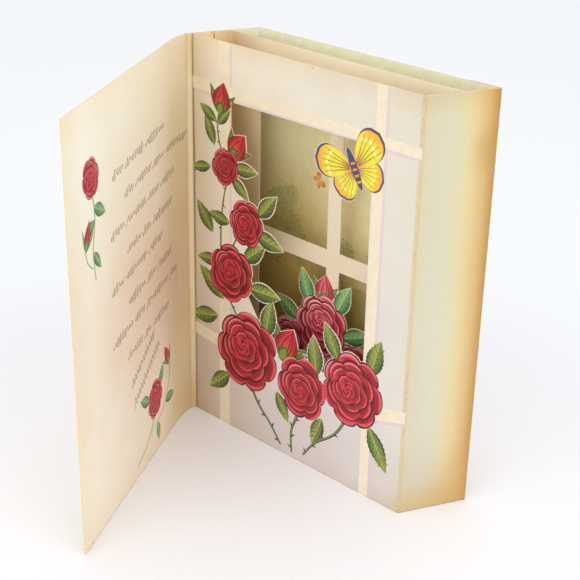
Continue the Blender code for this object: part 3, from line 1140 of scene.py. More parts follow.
def heart_layers(centre, reach, turn, tones):
    """The furled petals at the middle of a bloom."""
    ring = bloom_outline(centre, reach, HEART_PETALS, turn)
    yield ring, plain_ink(tones[1])
    for arm in range(HEART_PETALS):
        for lag, width, number in HEART_CURLS:
            line = []
            for step in range(HEART_STEPS + 1):
                share = step / HEART_STEPS
                angle = turn + lag + tau * (arm / HEART_PETALS + share * HEART_TURN)
                away = reach * (HEART_REACH[0] - HEART_REACH[1] * share)
                line.append(centre + heading(angle) * away)
            curl = ribbon_outline(line, reach * width, CURL_TAPER)
            yield curl, plain_ink(tones[number])


def leaf_ink(foot, length, breadth, angle, tones, side):
    """Ink of one half of a leaf, lit or dark by where it faces."""
    dark, deep, body, bright = tones
    along, across = axes_at(angle)
    facing = HALF + HALF * side * across.dot(heading(LIGHT_ANGLE))
    cover = LEAF_BRIGHT_COVERS[0] + LEAF_BRIGHT_COVERS[1] * facing

    def paint(point):
        arm = point - foot
        share = arm.dot(along) / length
        swing = abs(arm.dot(across)) / (breadth * HALF)
        edge = smooth(*LEAF_DARK_SHARES, swing + LEAF_DARK_FOOT * (1 - share))
        return washed(deep, (
            (body, facing),
            (bright, cover * smooth(*LEAF_BRIGHT_SHARES, share) * (1 - swing)),
            (dark, LEAF_DARK_COVER * edge),
        ))
    return paint


def toothed_outline(foot, length, breadth, angle):
    ring = blade_outline(foot, length, breadth, angle, LEAF_BELLY, 1, TOOTH_STEPS)
    along = heading(angle)
    middle_line = [foot + along * (point - foot).dot(along) for point in ring]
    return [
        middle.lerp(point, 1 - TOOTH_SHARE * (index % 2))
        for index, (point, middle) in enumerate(zip(ring, middle_line))
    ]


def vein_layers(foot, length, breadth, angle, tones, side, share):
    """A side vein of a leaf over its own shade."""
    along, across = axes_at(angle)
    start = foot + along * (length * share)
    reach = side * breadth * VEIN_REACH_SHARE * sin(pi * share)
    end = start + along * (length * VEIN_RUN_SHARE) + across * reach
    bend = start.lerp(end, VEIN_BEND_SHARE) + along * (length * VEIN_SAG_SHARE)
    vein = ribbon_outline([start, bend, end], length * VEIN_WIDTH_SHARE)
    shade = [point - along * (length * VEIN_SHADE_SHARE) for point in vein]
    light = VEIN_LIGHT if side > 0 else 0
    return [
        (shade, plain_ink(mixed(tones[0], tones[1], LINE_LIGHT))),
        (vein, plain_ink(mixed(tones[2], tones[3], light))),
    ]


def leaf_layers(foot, length, breadth, angle, tones):
    """A toothed leaf with a light and a dark half, a midrib and side veins."""
    along, across = axes_at(angle)
    yield toothed_outline(foot, length, breadth, angle), plain_ink(tones[0])
    ring = blade_outline(foot, length, breadth * LEAF_FACE_SHARE, angle, LEAF_BELLY, 1)
    spine = [foot + along * (length * share) for share in LEAF_SPINE_SHARES]
    halves = ((-1, ring[:LEAF_STEPS + 1]), (1, [ring[0]] + ring[:LEAF_STEPS - 1:-1]))
    for side, edge in halves:
        ink = leaf_ink(foot, length, breadth, angle, tones, side)
        arms = [point - foot for point in edge]
        inner = [foot + along * arm.dot(along) + across * (arm.dot(across) * HALF) for arm in arms]
        yield edge + spine, ink
        yield inner + spine, ink
        for share in VEIN_SHARES:
            yield from vein_layers(foot, length, breadth, angle, tones, side, share)
    line = [foot] + [foot + along * (length * share) for share in RIB_SHARES]
    rib = ribbon_outline(line, length * RIB_WIDTH_SHARE, RIB_TAPER)
    yield rib, plain_ink(mixed(tones[2], tones[3], LINE_LIGHT))


def bud_ink(foot, length, breadth, angle, tones, glow):
    """Ink of a bud's body: glowing at its foot, lit on one side, dark at its sides."""
    _, deep, body, bright = tones[:4]
    along, across = axes_at(angle)
    facing = across.dot(heading(LIGHT_ANGLE))

    def paint(point):
        arm = point - foot
        share = arm.dot(along) / length
        swing = arm.dot(across) / (breadth * HALF)
        warm = smooth(*BUD_GLOW_SHARES, share) if share < BUD_GLOW_SHARES[0] else 0
        return washed(body, (
            (glow, BUD_GLOW_COVER * warm),
            (bright, BUD_LIT_COVER * smooth(*BUD_LIT_SWING, swing * facing)),
            (deep, smooth(*BUD_DARK_SWING, abs(swing) + BUD_DARK_FOOT * share)),
        ))
    return paint


def streak_layers(foot, length, breadth, angle, tones, side, reach):
    """A dark fold of a bud with a light line beside it."""
    along, across = axes_at(angle)
    start_reach, bend_reach, end_reach = BUD_STREAK_REACHES
    asides = (
        side * breadth * start_reach * reach,
        side * breadth * bend_reach * reach,
        -side * breadth * end_reach,
    )
    line = [
        foot + along * (length * share) + across * aside
        for share, aside in zip(BUD_STREAK_SHARES, asides)
    ]
    shine = [point + across * (breadth * BUD_SHINE_SHARE) for point in line]
    for points, width, colour in zip((line, shine), BUD_STREAK_WIDTHS, (tones[0], tones[3])):
        ring = ribbon_outline(smooth_line(points, STREAK_STEPS), length * width, RIB_TAPER)
        yield ring, plain_ink(colour)


def bud_layers(shapes, tones, greens, glow):
    """A closed bud: a wrapped body, streaks, and sepals beside it."""
    bud, *sepals = shapes
    foot, length, breadth, angle = bud
    for root, sepal_length, sepal_breadth, way in sepals:
        thin = (sepal_length * SEPAL_FACE_SHARES[0], sepal_breadth * SEPAL_FACE_SHARES[1])
        for size, colour in (((sepal_length, sepal_breadth), greens[1]), (thin, greens[2])):
            yield blade_outline(root, *size, way, LEAF_BELLY, 1), plain_ink(colour)
    yield blade_outline(*bud, LEAF_BELLY, 1), plain_ink(tones[1])
    ink = bud_ink(*bud, tones, glow)
    for level in BUD_LEVELS:
        yield blade_outline(foot, length, breadth * level, angle, LEAF_BELLY, 1), ink
    for side, reach in BUD_STREAKS:
        yield from streak_layers(*bud, tones, side, reach)
    for (tall, wide), colour in ((CUP_SHARES, greens[1]), (CUP_FACE_SHARES, greens[2])):
        cup = blade_outline(foot, length * tall, breadth * wide, angle, LEAF_BELLY, 1)
        yield cup, plain_ink(colour)


def stem_layers(points, width, tones):
    """A thorny stem with a light side."""
    line = smooth_line(points, STEM_STEPS)
    yield ribbon_outline(line, width, STEM_TAPER), plain_ink(tones[0])
    last = len(line) - 1
    for index in range(FIRST_THORN, last, THORN_STEP):
        run = (line[index + 1] - line[index - 1]).normalized()
        across = Vector((-run[1], run[0])) * (1 if index % 2 else -1)
        root = line[index]
        foot = run * (width * THORN_HALF_SHARE)
        tip = root + across * (width * THORN_SHARE) - run * width
        yield [root - foot, root + foot, tip], plain_ink(tones[0])
    wide, up = STEM_LIGHT_SHARES
    light = [point + Vector((0, width * up)) for point in line]
    yield ribbon_outline(light, width * wide, STEM_TAPER), plain_ink(tones[2])


def wing_ink(foot, length, yellow, orange):
    def paint(point):
        out = (point - foot).length / length
        return washed(orange, (
            (yellow, smooth(*WING_YELLOW_SHARES, out)),
            (orange, WING_ORANGE_COVER * smooth(*WING_ORANGE_SHARES, out)),
        ))
    return paint


def wing_layers(shape, yellow, orange, edge):
    """A wing: a dark scalloped rim, a yellow field, veins and pale spots."""
    foot, length, breadth, angle = shape
    along, across = axes_at(angle)
    ring = blade_outline(foot, length, breadth, angle, WING_BELLY, WING_ROUNDNESS)
    yield ring, plain_ink(edge)
    ink = wing_ink(foot, length, yellow, orange)
    for level in WING_LEVELS:
        size = (foot, length * level, breadth * level, angle)
        yield blade_outline(*size, WING_BELLY, WING_ROUNDNESS), ink
    near, bend, far = WING_VEIN_SHARES
    spot_out, spot_aside, spot_size = WING_SPOT_SHARES
    pale = plain_ink(mixed(yellow, (1, 1, 1), WING_SPOT_LIGHT))
    for opening in VEIN_SPREADS:
        way = along + across * (opening * breadth / length * VEIN_FAN)
        fall = abs(opening) * WING_FALL
        end = foot + way * (length * (far - fall))
        line = [foot + way * (length * near), foot.lerp(end, bend), end]
        vein = ribbon_outline(line, length * WING_VEIN_WIDTH, HALF)
        yield vein, veiled_ink(ink, edge, WING_VEIN_COVER)
        spot = foot + way * (length * (spot_out - fall)) + across * (breadth * spot_aside)
        yield bloom_outline(spot, length * spot_size, WING_SPOT_PETALS, angle), pale


def body_layers(shape, edge, orange):
    foot, length, breadth, angle = shape
    along, across = axes_at(angle)
    yield blade_outline(*shape, 1, WING_ROUNDNESS), plain_ink(edge)
    for share in BODY_BAND_SHARES:
        middle = foot + along * (length * share)
        aside = across * (breadth * BODY_BAND_REACH)
        band = ribbon_outline([middle - aside, middle + aside], length * BODY_BAND_WIDTH, 0)
        yield band, plain_ink(orange)


def grown(sizes):
    return CUT_MARGIN - sizes.margin


def bouquet_layers(start, blooms, leaves, buds, tones, greens, glow, sizes):
    """Leaves first, then buds and blooms over them."""
    grow = grown(sizes)
    for shares in leaves:
        yield from leaf_layers(*leaf_shape(start, shares, grow), greens)
    for shares in buds:
        yield from bud_layers(bud_shapes(start, shares, grow), tones, greens, glow)
    for *place, radius, petals, turn in reversed(blooms):
        centre = panel_point(start, place)
        reach = radius * HEIGHT + grow
        yield from bloom_layers(centre, reach, petals, radians(turn), tones)


def placed(name, data):
    """A new object in the scene."""
    thing = bpy.data.objects.new(name, data)
    bpy.context.scene.collection.objects.link(thing)
    return thing


# cutting, printing and folding

def ring_edges(ring):
    """Pairs of neighbours round a closed ring."""
    return zip(ring, ring[1:] + ring[:1])


def ring_area(ring):
    """Area of a closed outline, above zero where it runs anticlockwise."""
    return sum(here.cross(there) for here, there in ring_edges(ring)) * HALF


def tidy_ring(ring):
    """The same outline anticlockwise, from its leftmost point."""
    if ring_area(ring) < 0:
        ring = ring[::-1]
    start = min(range(len(ring)), key=lambda index: (ring[index][0], ring[index][1]))
    return ring[start:] + ring[:start]


def cut_blank(outline, marks, openings, motifs, layers):
    """Flat points, triangles, and the topmost layer of print on each triangle."""
    rings = [outline] + openings + motifs + [layer[0] for layer in layers]
    rings = [tidy_ring(ring) for ring in rings]
    points = []
    faces = []
    for ring in rings:
        faces.append(list(range(len(points), len(points) + len(ring))))
        points.extend(ring)
    edges = []
    for mark in marks[1:-1]:
        edges.append((len(points), len(points) + 1))
        heights = [point[1] for point in outline]
        points.extend([Vector((mark, min(heights))), Vector((mark, max(heights)))])
    flat, _, triangles, _, _, sources = delaunay_2d_cdt(points, edges, faces, 1, SAME_PLACE, True)
    first_motif = 1 + len(openings)
    first_layer = first_motif + len(motifs)
    gaps = set(range(1, first_motif))
    shapes = set(range(first_motif, first_layer))
    kept = []
    left = []
    for triangle, source in zip(triangles, sources):
        top = max(source, default=0)
        row = (tuple(triangle), top - first_layer if top >= first_layer else None)
        cut_out = gaps.intersection(source) and shapes.isdisjoint(source)
        (left if cut_out or 0 not in source else kept).append(row)
    return flat, kept + lost_slivers(kept, left)


def lost_slivers(kept, left):
    """Hair thin triangles that the cutting lost between others that stay."""
    sides = {frozenset(edge) for triangle, _ in kept for edge in ring_edges(triangle)}
    return [
        (triangle, layer) for triangle, layer in left
        if all(frozenset(edge) in sides for edge in ring_edges(triangle))
    ]


def border_edges(triangles):
    """Edges with card on their left side only."""
    edges = {edge for triangle in triangles for edge in ring_edges(triangle)}
    return sorted(edge for edge in edges if edge[::-1] not in edges)


def plain_triangles(flat, borders, marks):
    """Triangles of the unprinted face, which needs no points but its border's."""
    numbers = sorted({index for run in borders for index in run})
    short = {index: place for place, index in enumerate(numbers)}
    edges = [(short[start], short[end]) for start, end in borders]
    for mark in marks[1:-1]:
        line = [index for index in numbers if abs(flat[index][0] - mark) < STOCK * SAME_SHARE]
        line.sort(key=lambda index: flat[index][1])
        edges.extend((short[here], short[there]) for here, there in zip(line, line[1:]))
    points = [flat[index] for index in numbers]
    _, _, faces, sources, _, _ = delaunay_2d_cdt(points, edges, [], 0, 0, True)
    found = [tuple(numbers[sources[corner][0]] for corner in face) for face in faces]
    return filled(found, set(borders))


def filled(triangles, borders):
    """The triangles that lie on the left of the borders, or join one that does."""
    owners = {edge: number for number, ring in enumerate(triangles) for edge in ring_edges(ring)}
    waiting = [owners[edge] for edge in borders if edge in owners]
    inside = set(waiting)
    while waiting:
        for edge in ring_edges(triangles[waiting.pop()]):
            other = owners.get(edge[::-1])
            if edge not in borders and other is not None and other not in inside:
                inside.add(other)
                waiting.append(other)
    return [triangles[number] for number in sorted(inside)]


def printed_sheet(
    name, path, origin, outline, openings, motifs, layers, printed_side, materials, thick=STOCK,
):
    """A closed folded sheet with its print as corner colours on one face."""
    layers = list(layers)
    marks = crease_marks(path)
    flat, cut = cut_blank(outline, marks, openings, motifs, layers)
    borders = border_edges([ring for ring, _ in cut])
    mesh = bmesh.new()
    blank = mesh.loops.layers.uv.new("Blank")
    ink = mesh.loops.layers.float_color.new("Ink")
    corners = {}
    for side in (1, -1):
        for index, point in enumerate(flat):
            place = folded_point(path, marks, point[0], side * thick * HALF) - origin
            corners[index, side] = mesh.verts.new((place[0], place[1], point[1]))

    def lay_face(keys, slot, layer):
        face = mesh.faces.new([corners[key] for key in keys])
        face.material_index = slot
        for loop, (index, _) in zip(face.loops, keys):
            point = flat[index]
            loop[blank].uv = (point[0] / HEIGHT, point[1] / HEIGHT)
            *colour, cover = (0, 0, 0, 0) if layer is None else layers[layer][1](point)
            loop[ink] = (*linear(colour), cover)

    for ring, layer in cut:
        order = ring if printed_side > 0 else ring[::-1]
        lay_face([(index, printed_side) for index in order], PRINT_SLOT, layer)
    for ring in plain_triangles(flat, borders, marks):
        order = ring if printed_side < 0 else ring[::-1]
        lay_face([(index, -printed_side) for index in order], PLAIN_SLOT, None)
    for start, end in borders:
        lay_face([(end, 1), (start, 1), (start, -1), (end, -1)], EDGE_SLOT, None)
    loose = [vert for vert in mesh.verts if not vert.link_faces]
    bmesh.ops.delete(mesh, geom=loose, context="VERTS")
    data = bpy.data.meshes.new(name)
    mesh.to_mesh(data)
    mesh.free()
    for material in materials:
        data.materials.append(material)
    return placed(name, data)


# node materials

def add(tree, kind, inputs=(), **values):
    """A node with its values, and with its inputs, by name or place, joined to sockets or set."""
    node = tree.nodes.new(kind)
    for key, value in values.items():
        setattr(node, key, value)
    pairs = inputs.items() if isinstance(inputs, dict) else enumerate(inputs)
    for key, value in pairs:
        if isinstance(value, bpy.types.NodeSocket):
            tree.links.new(value, node.inputs[key])
        else:
            node.inputs[key].default_value = value
    return node


def noise(tree, vector, scale, detail, rough):
    inputs = {"Vector": vector, "Scale": scale, "Detail": detail, "Roughness": rough}
    return add(tree, "ShaderNodeTexNoise", inputs).outputs["Fac"]


def spread(tree, value, low, high, to_low, to_high, shape="SMOOTHSTEP"):
    """A step from one pair of values to another."""
    inputs = {"Value": value, "From Min": low, "From Max": high, "To Min": to_low, "To Max": to_high}
    return add(tree, "ShaderNodeMapRange", inputs, interpolation_type=shape).outputs["Result"]


def grain(tree, vector, pattern, low=0, high=1):
    """Values that follow a grain pattern from low to high."""
    *settings, start, end = pattern
    return spread(tree, noise(tree, vector, *settings), start, end, low, high)


def times(tree, first, second):
    return add(tree, "ShaderNodeMath", (first, second), operation="MULTIPLY").outputs["Value"]


def blended(tree, factor, first, second, mode="MIX"):
    """Two colours, either of them a socket or screen values, blended by a factor."""
    inputs = {0: factor}
    for place, colour in zip(COLOUR_INPUTS, (first, second)):
        ready = isinstance(colour, bpy.types.NodeSocket)
        inputs[place] = colour if ready else (*linear(colour), 1)
    mix = add(tree, "ShaderNodeMix", inputs, data_type="RGBA", blend_type=mode)
    return mix.outputs[COLOUR_OUTPUT]


def coated(tree, colour, coats):
    """A colour under coats, each of them a factor, a colour and a way to blend."""
    for factor, coat, mode in coats:
        colour = blended(tree, factor, colour, coat, mode)
    return colour


def ramp(tree, value, stops):
    """Colour along a blank, from pairs of a place in metres and a tone."""
    node = add(tree, "ShaderNodeValToRGB", {"Fac": value})
    elements = node.color_ramp.elements
    while len(elements) < len(stops):
        elements.new(1)
    for element, (place, code) in zip(elements, stops):
        element.position = place / HEIGHT
        element.color = (*linear(tone(code)), 1)
    return node.outputs["Color"]


def nearness(tree, vector, centre, near, far, strength):
    """Strength inside a near distance of a point of the blank, falling to nothing at a far one."""
    ends = (vector, (centre[0] / HEIGHT, centre[1] / HEIGHT, 0))
    away = add(tree, "ShaderNodeVectorMath", ends, operation="DISTANCE").outputs["Value"]
    return spread(tree, away, near / HEIGHT, far / HEIGHT, strength, 0)


def broken_line_mask(tree, value, place, width, broken):
    """Broken line along the blank, for wear and for the painted foot shadow, from its place and half
    width in metres.
    """
    inputs = (value, place / HEIGHT, width / HEIGHT)
    line = add(tree, "ShaderNodeMath", inputs, operation="COMPARE").outputs["Value"]
    return times(tree, line, broken)


def new_material(name):
    """A material, its node tree, and the place of each point in its own object."""
    material = bpy.data.materials.new(name)
    material.use_nodes = True
    tree = material.node_tree
    return material, tree, add(tree, "ShaderNodeTexCoord").outputs["Object"]


def surfaced(tree, colour, roughness, height, strength, distance):
    """Give the shader its colour, its roughness and a relief."""
    shader = tree.nodes["Principled BSDF"]
    inputs = {"Height": height, "Strength": strength, "Distance": distance}
    relief = add(tree, "ShaderNodeBump", inputs).outputs["Normal"]
    for name, socket in (("Base Color", colour), ("Roughness", roughness), ("Normal", relief)):
        tree.links.new(socket, shader.inputs[name])


def printed_over(tree, place, colour, roughness, stock):
    """Colour and roughness with the print over them, mottled and with open pores."""
    ink = add(tree, "ShaderNodeAttribute", attribute_name="Ink")
    mottle = grain(tree, place, MOTTLE_GRAIN, *MOTTLE_RANGE)
    shade = times(tree, mottle, grain(tree, place, WASH_GRAIN, *WASH_RANGE))
    inputs = {"Vector": ink.outputs["Color"], "Scale": shade}
    hue = add(tree, "ShaderNodeVectorMath", inputs, operation="SCALE").outputs["Vector"]
    cover = times(tree, ink.outputs["Alpha"], grain(tree, place, PORE_GRAIN, *PORE_RANGE))
    inputs = {0: cover, 2: roughness, 3: stock.ink_roughness}
    sheen = add(tree, "ShaderNodeMix", inputs, data_type="FLOAT").outputs[0]
    return blended(tree, cover, colour, hue), sheen


def wear_and_foot_shadow(tree, place, axes, marks, stock):
    """Coats of wear at the creases and the top edge, and a painted contact shadow along the foot."""
    broken = grain(tree, place, BROKEN_GRAIN, *BROKEN_RANGE)
    nicked = grain(tree, place, NICK_GRAIN, 0, NICK_COVER)
    coats = []
    for mark in marks:
        wear = broken_line_mask(tree, axes["X"], mark, stock.worn, broken)
        coats.append((wear, stock.edge, "MIX"))
        nick = broken_line_mask(tree, axes["X"], mark, stock.worn * HALF, nicked)
        coats.append((nick, stock.speck, "MULTIPLY"))
    wear = broken_line_mask(tree, axes["Y"], HEIGHT, stock.worn, broken)
    coats.append((wear, stock.edge, "MIX"))
    # painted shadow: a dark broken line along the foot, where the card stands on the floor
    foot_shade = broken_line_mask(tree, axes["Y"], 0, stock.painted_shadow_height, broken)
    coats.append((foot_shade, stock.painted_foot_shadow, "MIX"))
    return coats


def card_face(name, across, up, patches, marks, inked, stock):
    """Toned card: tones along and up the blank, patches, blotches, fibres, ink, wear and a painted
    shadow along the foot; some tones and patches are painted shade.
    """
    material, tree, place = new_material(name)
    blank = add(tree, "ShaderNodeUVMap", uv_map="Blank").outputs["UV"]
    axes = add(tree, "ShaderNodeSeparateXYZ", (blank,)).outputs
    fibre = noise(tree, place, 1 / stock.fibre, FIBRE_DETAIL, FIBRE_ROUGHNESS)
    pale = spread(tree, fibre, *FIBRE_PALES)
    hue = add(tree, "ShaderNodeCombineXYZ", (pale, pale, pale)).outputs["Vector"]
    coats = [(1.0, ramp(tree, axes["Y"], up), "MULTIPLY")]
    for *spot, code in patches:
        coats.append((nearness(tree, blank, *spot), tone(code), "MIX"))
    coats += [
        (grain(tree, place, BLOTCH_GRAIN, 0, stock.blotch), stock.toned, "MULTIPLY"),
        (grain(tree, place, STREAK_GRAIN, 0, STREAK_COVER), stock.toned, "MULTIPLY"),
        (1.0, hue, "MULTIPLY"),
        (grain(tree, place, SPECK_GRAIN, 0, SPECK_COVER), stock.speck, "MULTIPLY"),
    ]
    colour = coated(tree, ramp(tree, axes["X"], across), coats)
    least, most = stock.roughness - GLOSS_SWING, stock.roughness + GLOSS_SWING
    roughness = spread(tree, fibre, 0, 1, least, most, "LINEAR")
    if inked:
        colour, roughness = printed_over(tree, place, colour, roughness, stock)
    colour = coated(tree, colour, wear_and_foot_shadow(tree, place, axes, marks, stock))
    surfaced(tree, colour, roughness, fibre, stock.bump, stock.fibre * HALF)
    return material


def edge_face(name, stock):
    """Cut edge of the card: pale core with toned fibres."""
    material, tree, place = new_material(name)
    fine = grain(tree, place, CORE_GRAIN)
    broad = grain(tree, place, CORE_BLOTCH_GRAIN, 0, CORE_BLOTCH_COVER)
    core = blended(tree, fine, stock.edge_dark, stock.edge)
    colour = blended(tree, broad, core, stock.toned, "MULTIPLY")
    roughness = grain(tree, place, CORE_GLOSS_GRAIN, stock.roughness, ROUGHEST)
    surfaced(tree, colour, roughness, fine, stock.bump, stock.fibre * HALF)
    return material


def card_materials(kind, back, printed, plain, patches, marks, stock):
    """Materials of the printed face, the plain face and the cut edge of a sheet."""
    return (
        card_face(f"{kind}_card_print", *printed, patches, marks, True, stock),
        card_face(f"{kind}_card_{back}", *plain, (), marks, False, stock),
        edge_face(f"{kind}_card_edge", stock),
    )


# settings that a user may change

def colour_setting(name, description, code):
    return FloatVectorProperty(
        name=name, description=description, default=tone(code), size=3, min=0, max=1,
        subtype="COLOR_GAMMA",
    )


def length_setting(name, description, default, low, high):
    return FloatProperty(
        name=name, description=description, default=default, min=low, max=high, precision=5,
        unit="LENGTH",
    )


def share_setting(name, description, default, low=0, high=1):
    return FloatProperty(
        name=name, description=description, default=default, min=low, max=high, subtype="FACTOR",
    )


def power_setting(name, description, default):
    return FloatProperty(
        name=name, description=description, default=default, min=0, max=200, unit="POWER",
    )


class CardStockSettings(bpy.types.PropertyGroup):
    fibre: length_setting("Fibre size", "Size of the grain of the card", 0.0006, 0.0001, 0.01)
    bump: share_setting("Grain relief", "How much the grain stands out", 0.22)
    roughness: share_setting("Card roughness", "Roughness of the bare card", 0.74, 0.1, 0.9)
    ink_roughness: share_setting("Ink roughness", "Roughness of printed card", 0.52, 0.1)
    blotch: share_setting("Toning", "Strength of the uneven age toning", 0.24)
    toned: colour_setting("Toning colour", "Colour that age gives to the card", "F5E6C8")
    speck: colour_setting("Speck colour", "Colour of the small age specks", "C89A66")
    edge: colour_setting("Worn edge colour", "Colour of bare fibres at creases and edges", "F3E3BC")
    # painted contact shadow along the foot of the sheets: its colour
    painted_foot_shadow: colour_setting(
        "Painted foot shadow colour", "Colour of the edge that stands on the table", "6E5E48",
    )
    # height of the painted contact shadow along the foot
    painted_shadow_height: length_setting(
        "Foot shadow height", "How far the painted shadow goes up from the table", 0.00045, 0, 0.002,
    )
    edge_dark: colour_setting("Cut edge colour", "Darker tone of the cut edges", "D9BE8C")
    worn: length_setting(
        "Wear width", "Half width of the wear along creases and edges", 0.00022, 0, 0.002,
    )


class CardPrintSettings(bpy.types.PropertyGroup):
    margin: length_setting(
        "Bare margin", "Bare card between the print and the cut outline", 0.0003, 0, 0.0008,
    )
    bar: colour_setting("Window bars", "Colour of the printed window bars", "ECDFC2")
    lilac: colour_setting("Bar shadow", "Colour of the shadow line beside the bars", "D9BCCB")
    yellow: colour_setting("Wing yellow", "Main colour of the butterfly", "EEDD3A")
    orange: colour_setting("Wing orange", "Shading of the butterfly and the buds", "EE9A32")
    wing_edge: colour_setting("Wing edge", "Dark rim of the wings", "46486A")


class PenStrokeSettings(bpy.types.PropertyGroup):
    wave_height: length_setting(
        "Wave height", "Height of the waves of a pen stroke", 0.0017, 0, 0.01,
    )
    wave_length: length_setting(
        "Wave length", "Length of one wave of a pen stroke", 0.0027, 0.0005, 0.02,
    )
    width: length_setting("Line width", "Width of a pen stroke", 0.00034, 0.0001, 0.002)
    depth: length_setting(
        "Ink depth", "How far the ink stands on the card", 0.00003, 0.00001, 0.0005,
    )
    seed: IntProperty(
        name="Seed", description="Changes the waves of the pen strokes", default=4, min=0, max=99,
    )
    colour: colour_setting("Pen colour", "Colour of the pen strokes", "3C2A20")


class StudioSettings(bpy.types.PropertyGroup):
    sky: FloatProperty(
        name="Sky strength", description="Even light from all round", default=0.96, min=0, max=5,
    )
    key: power_setting("Key power", "Power of the large lamp beside the camera", 2.5)
    fill: power_setting("Fill power", "Power of the lamp on the other side", 4.4)
    floor: colour_setting("Floor colour", "Colour of the floor", "F7F7F8")


# the four sheets

def bar_layers(start, sizes):
    """Window bars printed on the front panel, with a lilac shadow line beside each."""
    bars = []
    for left, right in UPRIGHT_PRINT_SHARES:
        bars.append([(left, 0), (right, 0), (right, 1), (left, 1)])
    for near, far in (TOP_PRINT_SHARES, SILL_PRINT_SHARES, SILL_END_SHARES):
        bars.append([(near[0], near[1]), (far[0], far[1]), (far[0], far[2]), (near[0], near[2])])
    limit = PANEL_WIDTH / HEIGHT
    shadows = [
        [
            (min(across + BAR_SHADOW_SHARE, limit), min(max(up - BAR_SHADOW_SHARE, 0), 1))
            for across, up in bar
        ]
        for bar in bars
    ]
    fields = ((shadows, sizes.lilac, BAR_SHADOW_COVER), (bars, sizes.bar, BAR_COVER))
    return [
        (height_points(start, shares), plain_ink(colour, cover))
        for field, colour, cover in fields
        for shares in field
    ]


def front_print(start, sizes):
    crimson = palette(CRIMSON_TONES)
    olive = palette(OLIVE_TONES)
    yield from bar_layers(start, sizes)
    for points, width in STEM_SHARES:
        line = [panel_point(start, shares) for shares in points]
        yield from stem_layers(line, width * HEIGHT, olive)
    for shares in PRINTED_LEAF_SHARES:
        yield from leaf_layers(*leaf_shape(start, shares, 0), olive)
    for shares in PRINTED_BUD_SHARES:
        yield from bud_layers(bud_shapes(start, shares, 0), crimson, olive, sizes.orange)
    yield from bouquet_layers(start, *FRONT_BOUQUET, crimson, olive, sizes.orange, sizes)
    wings, body = wing_shapes(start, grown(sizes))
    for shape in wings[::-1]:
        yield from wing_layers(shape, sizes.yellow, sizes.orange, sizes.wing_edge)
    yield from body_layers(body, sizes.wing_edge, sizes.orange)


def build_front_sheet(centre, stock, sizes):
    path = front_path()
    marks = crease_marks(path)
    start = marks[1]
    window = box_outline(
        start + WINDOW_SIDE,
        start + PANEL_WIDTH - WINDOW_SIDE,
        WINDOW_BOTTOM,
        HEIGHT - WINDOW_TOP,
    )
    motifs = bouquet_outlines(start, FRONT_GROUND_SHARES, *FRONT_BOUQUET)
    motifs += butterfly_outlines(start)
    outline = tab_outline(marks[-1], TAB_SNIP)
    materials = card_materials(
        "front", "inside", (FRONT_ACROSS, FRONT_UP), (FRONT_INSIDE, FRONT_UP),
        FRONT_PATCHES, marks[2:-1], stock,
    )
    layers = front_print(start, sizes)
    return printed_sheet(
        "printed_front_sheet", path, centre, outline, [window], motifs, layers, 1, materials,
    )


def stop_colour(stops, value):
    for (low, first), (high, second) in zip(stops, stops[1:]):
        if value <= high:
            return mixed(tone(first), tone(second), (value - low) / (high - low))
    return tone(stops[-1][1])


def garden_ink(start, cover):
    """Ink that pales up the sheet and towards its right, where painted light takes over from painted
    shade.
    """
    def paint(point):
        low, high = (start + share * HEIGHT for share in GARDEN_LIT_SHARES)
        dim = stop_colour(GARDEN_DIM, point[1])
        return (*mixed(dim, stop_colour(GARDEN_LIT, point[1]), smooth(low, high, point[0])), cover)
    return paint


def dab_outline(spot, reach, turn, chance):
    """A small leaf dab with a rough rim."""
    along, across = axes_at(turn)
    ring = []
    for index in range(DAB_POINTS):
        angle = tau * index / DAB_POINTS
        away = reach * chance.uniform(*DAB_ROUGHNESS)
        ring.append(spot + (
            along * (cos(angle) * away) + across * (sin(angle) * away * DAB_FLATNESS)
        ))
    return ring


def crown_layers(centre, reach, count, sky, chance):
    """A tree crown: a soft ground and many leaf dabs that thin out at its rim."""
    for share, cover in CROWN_COVERS:
        ring = bloom_outline(centre, reach * share, CROWN_PETALS, chance.uniform(0, tau))
        yield ring, veiled_ink(sky, tone(CROWN_TONE), cover)
    for number in range(round(count * DAB_CROWD)):
        away = reach * DAB_REACH * chance.random() ** DAB_CROWDING
        spot = centre + heading(chance.uniform(0, tau)) * away
        size = reach * DAB_SHARE * chance.uniform(*DAB_SIZES)
        colour = tone(DAB_TONES[number % len(DAB_TONES)])
        dab = dab_outline(spot, size, chance.uniform(0, pi), chance)
        yield dab, veiled_ink(sky, colour, DAB_COVER)


def moth_layers(spot):
    """A small butterfly of four plain wings."""
    for opening, length in MOTH_WINGS:
        for side in (-1, 1):
            angle = radians(MOTH_HEADING + side * opening)
            for share, code in zip(MOTH_LEVELS, MOTH_TONES):
                size = (length * HEIGHT * share, length * HEIGHT * share * MOTH_WING_SHARE)
                wing = blade_outline(spot, *size, angle, WING_BELLY, WING_ROUNDNESS)
                yield wing, plain_ink(tone(code), MOTH_COVER)


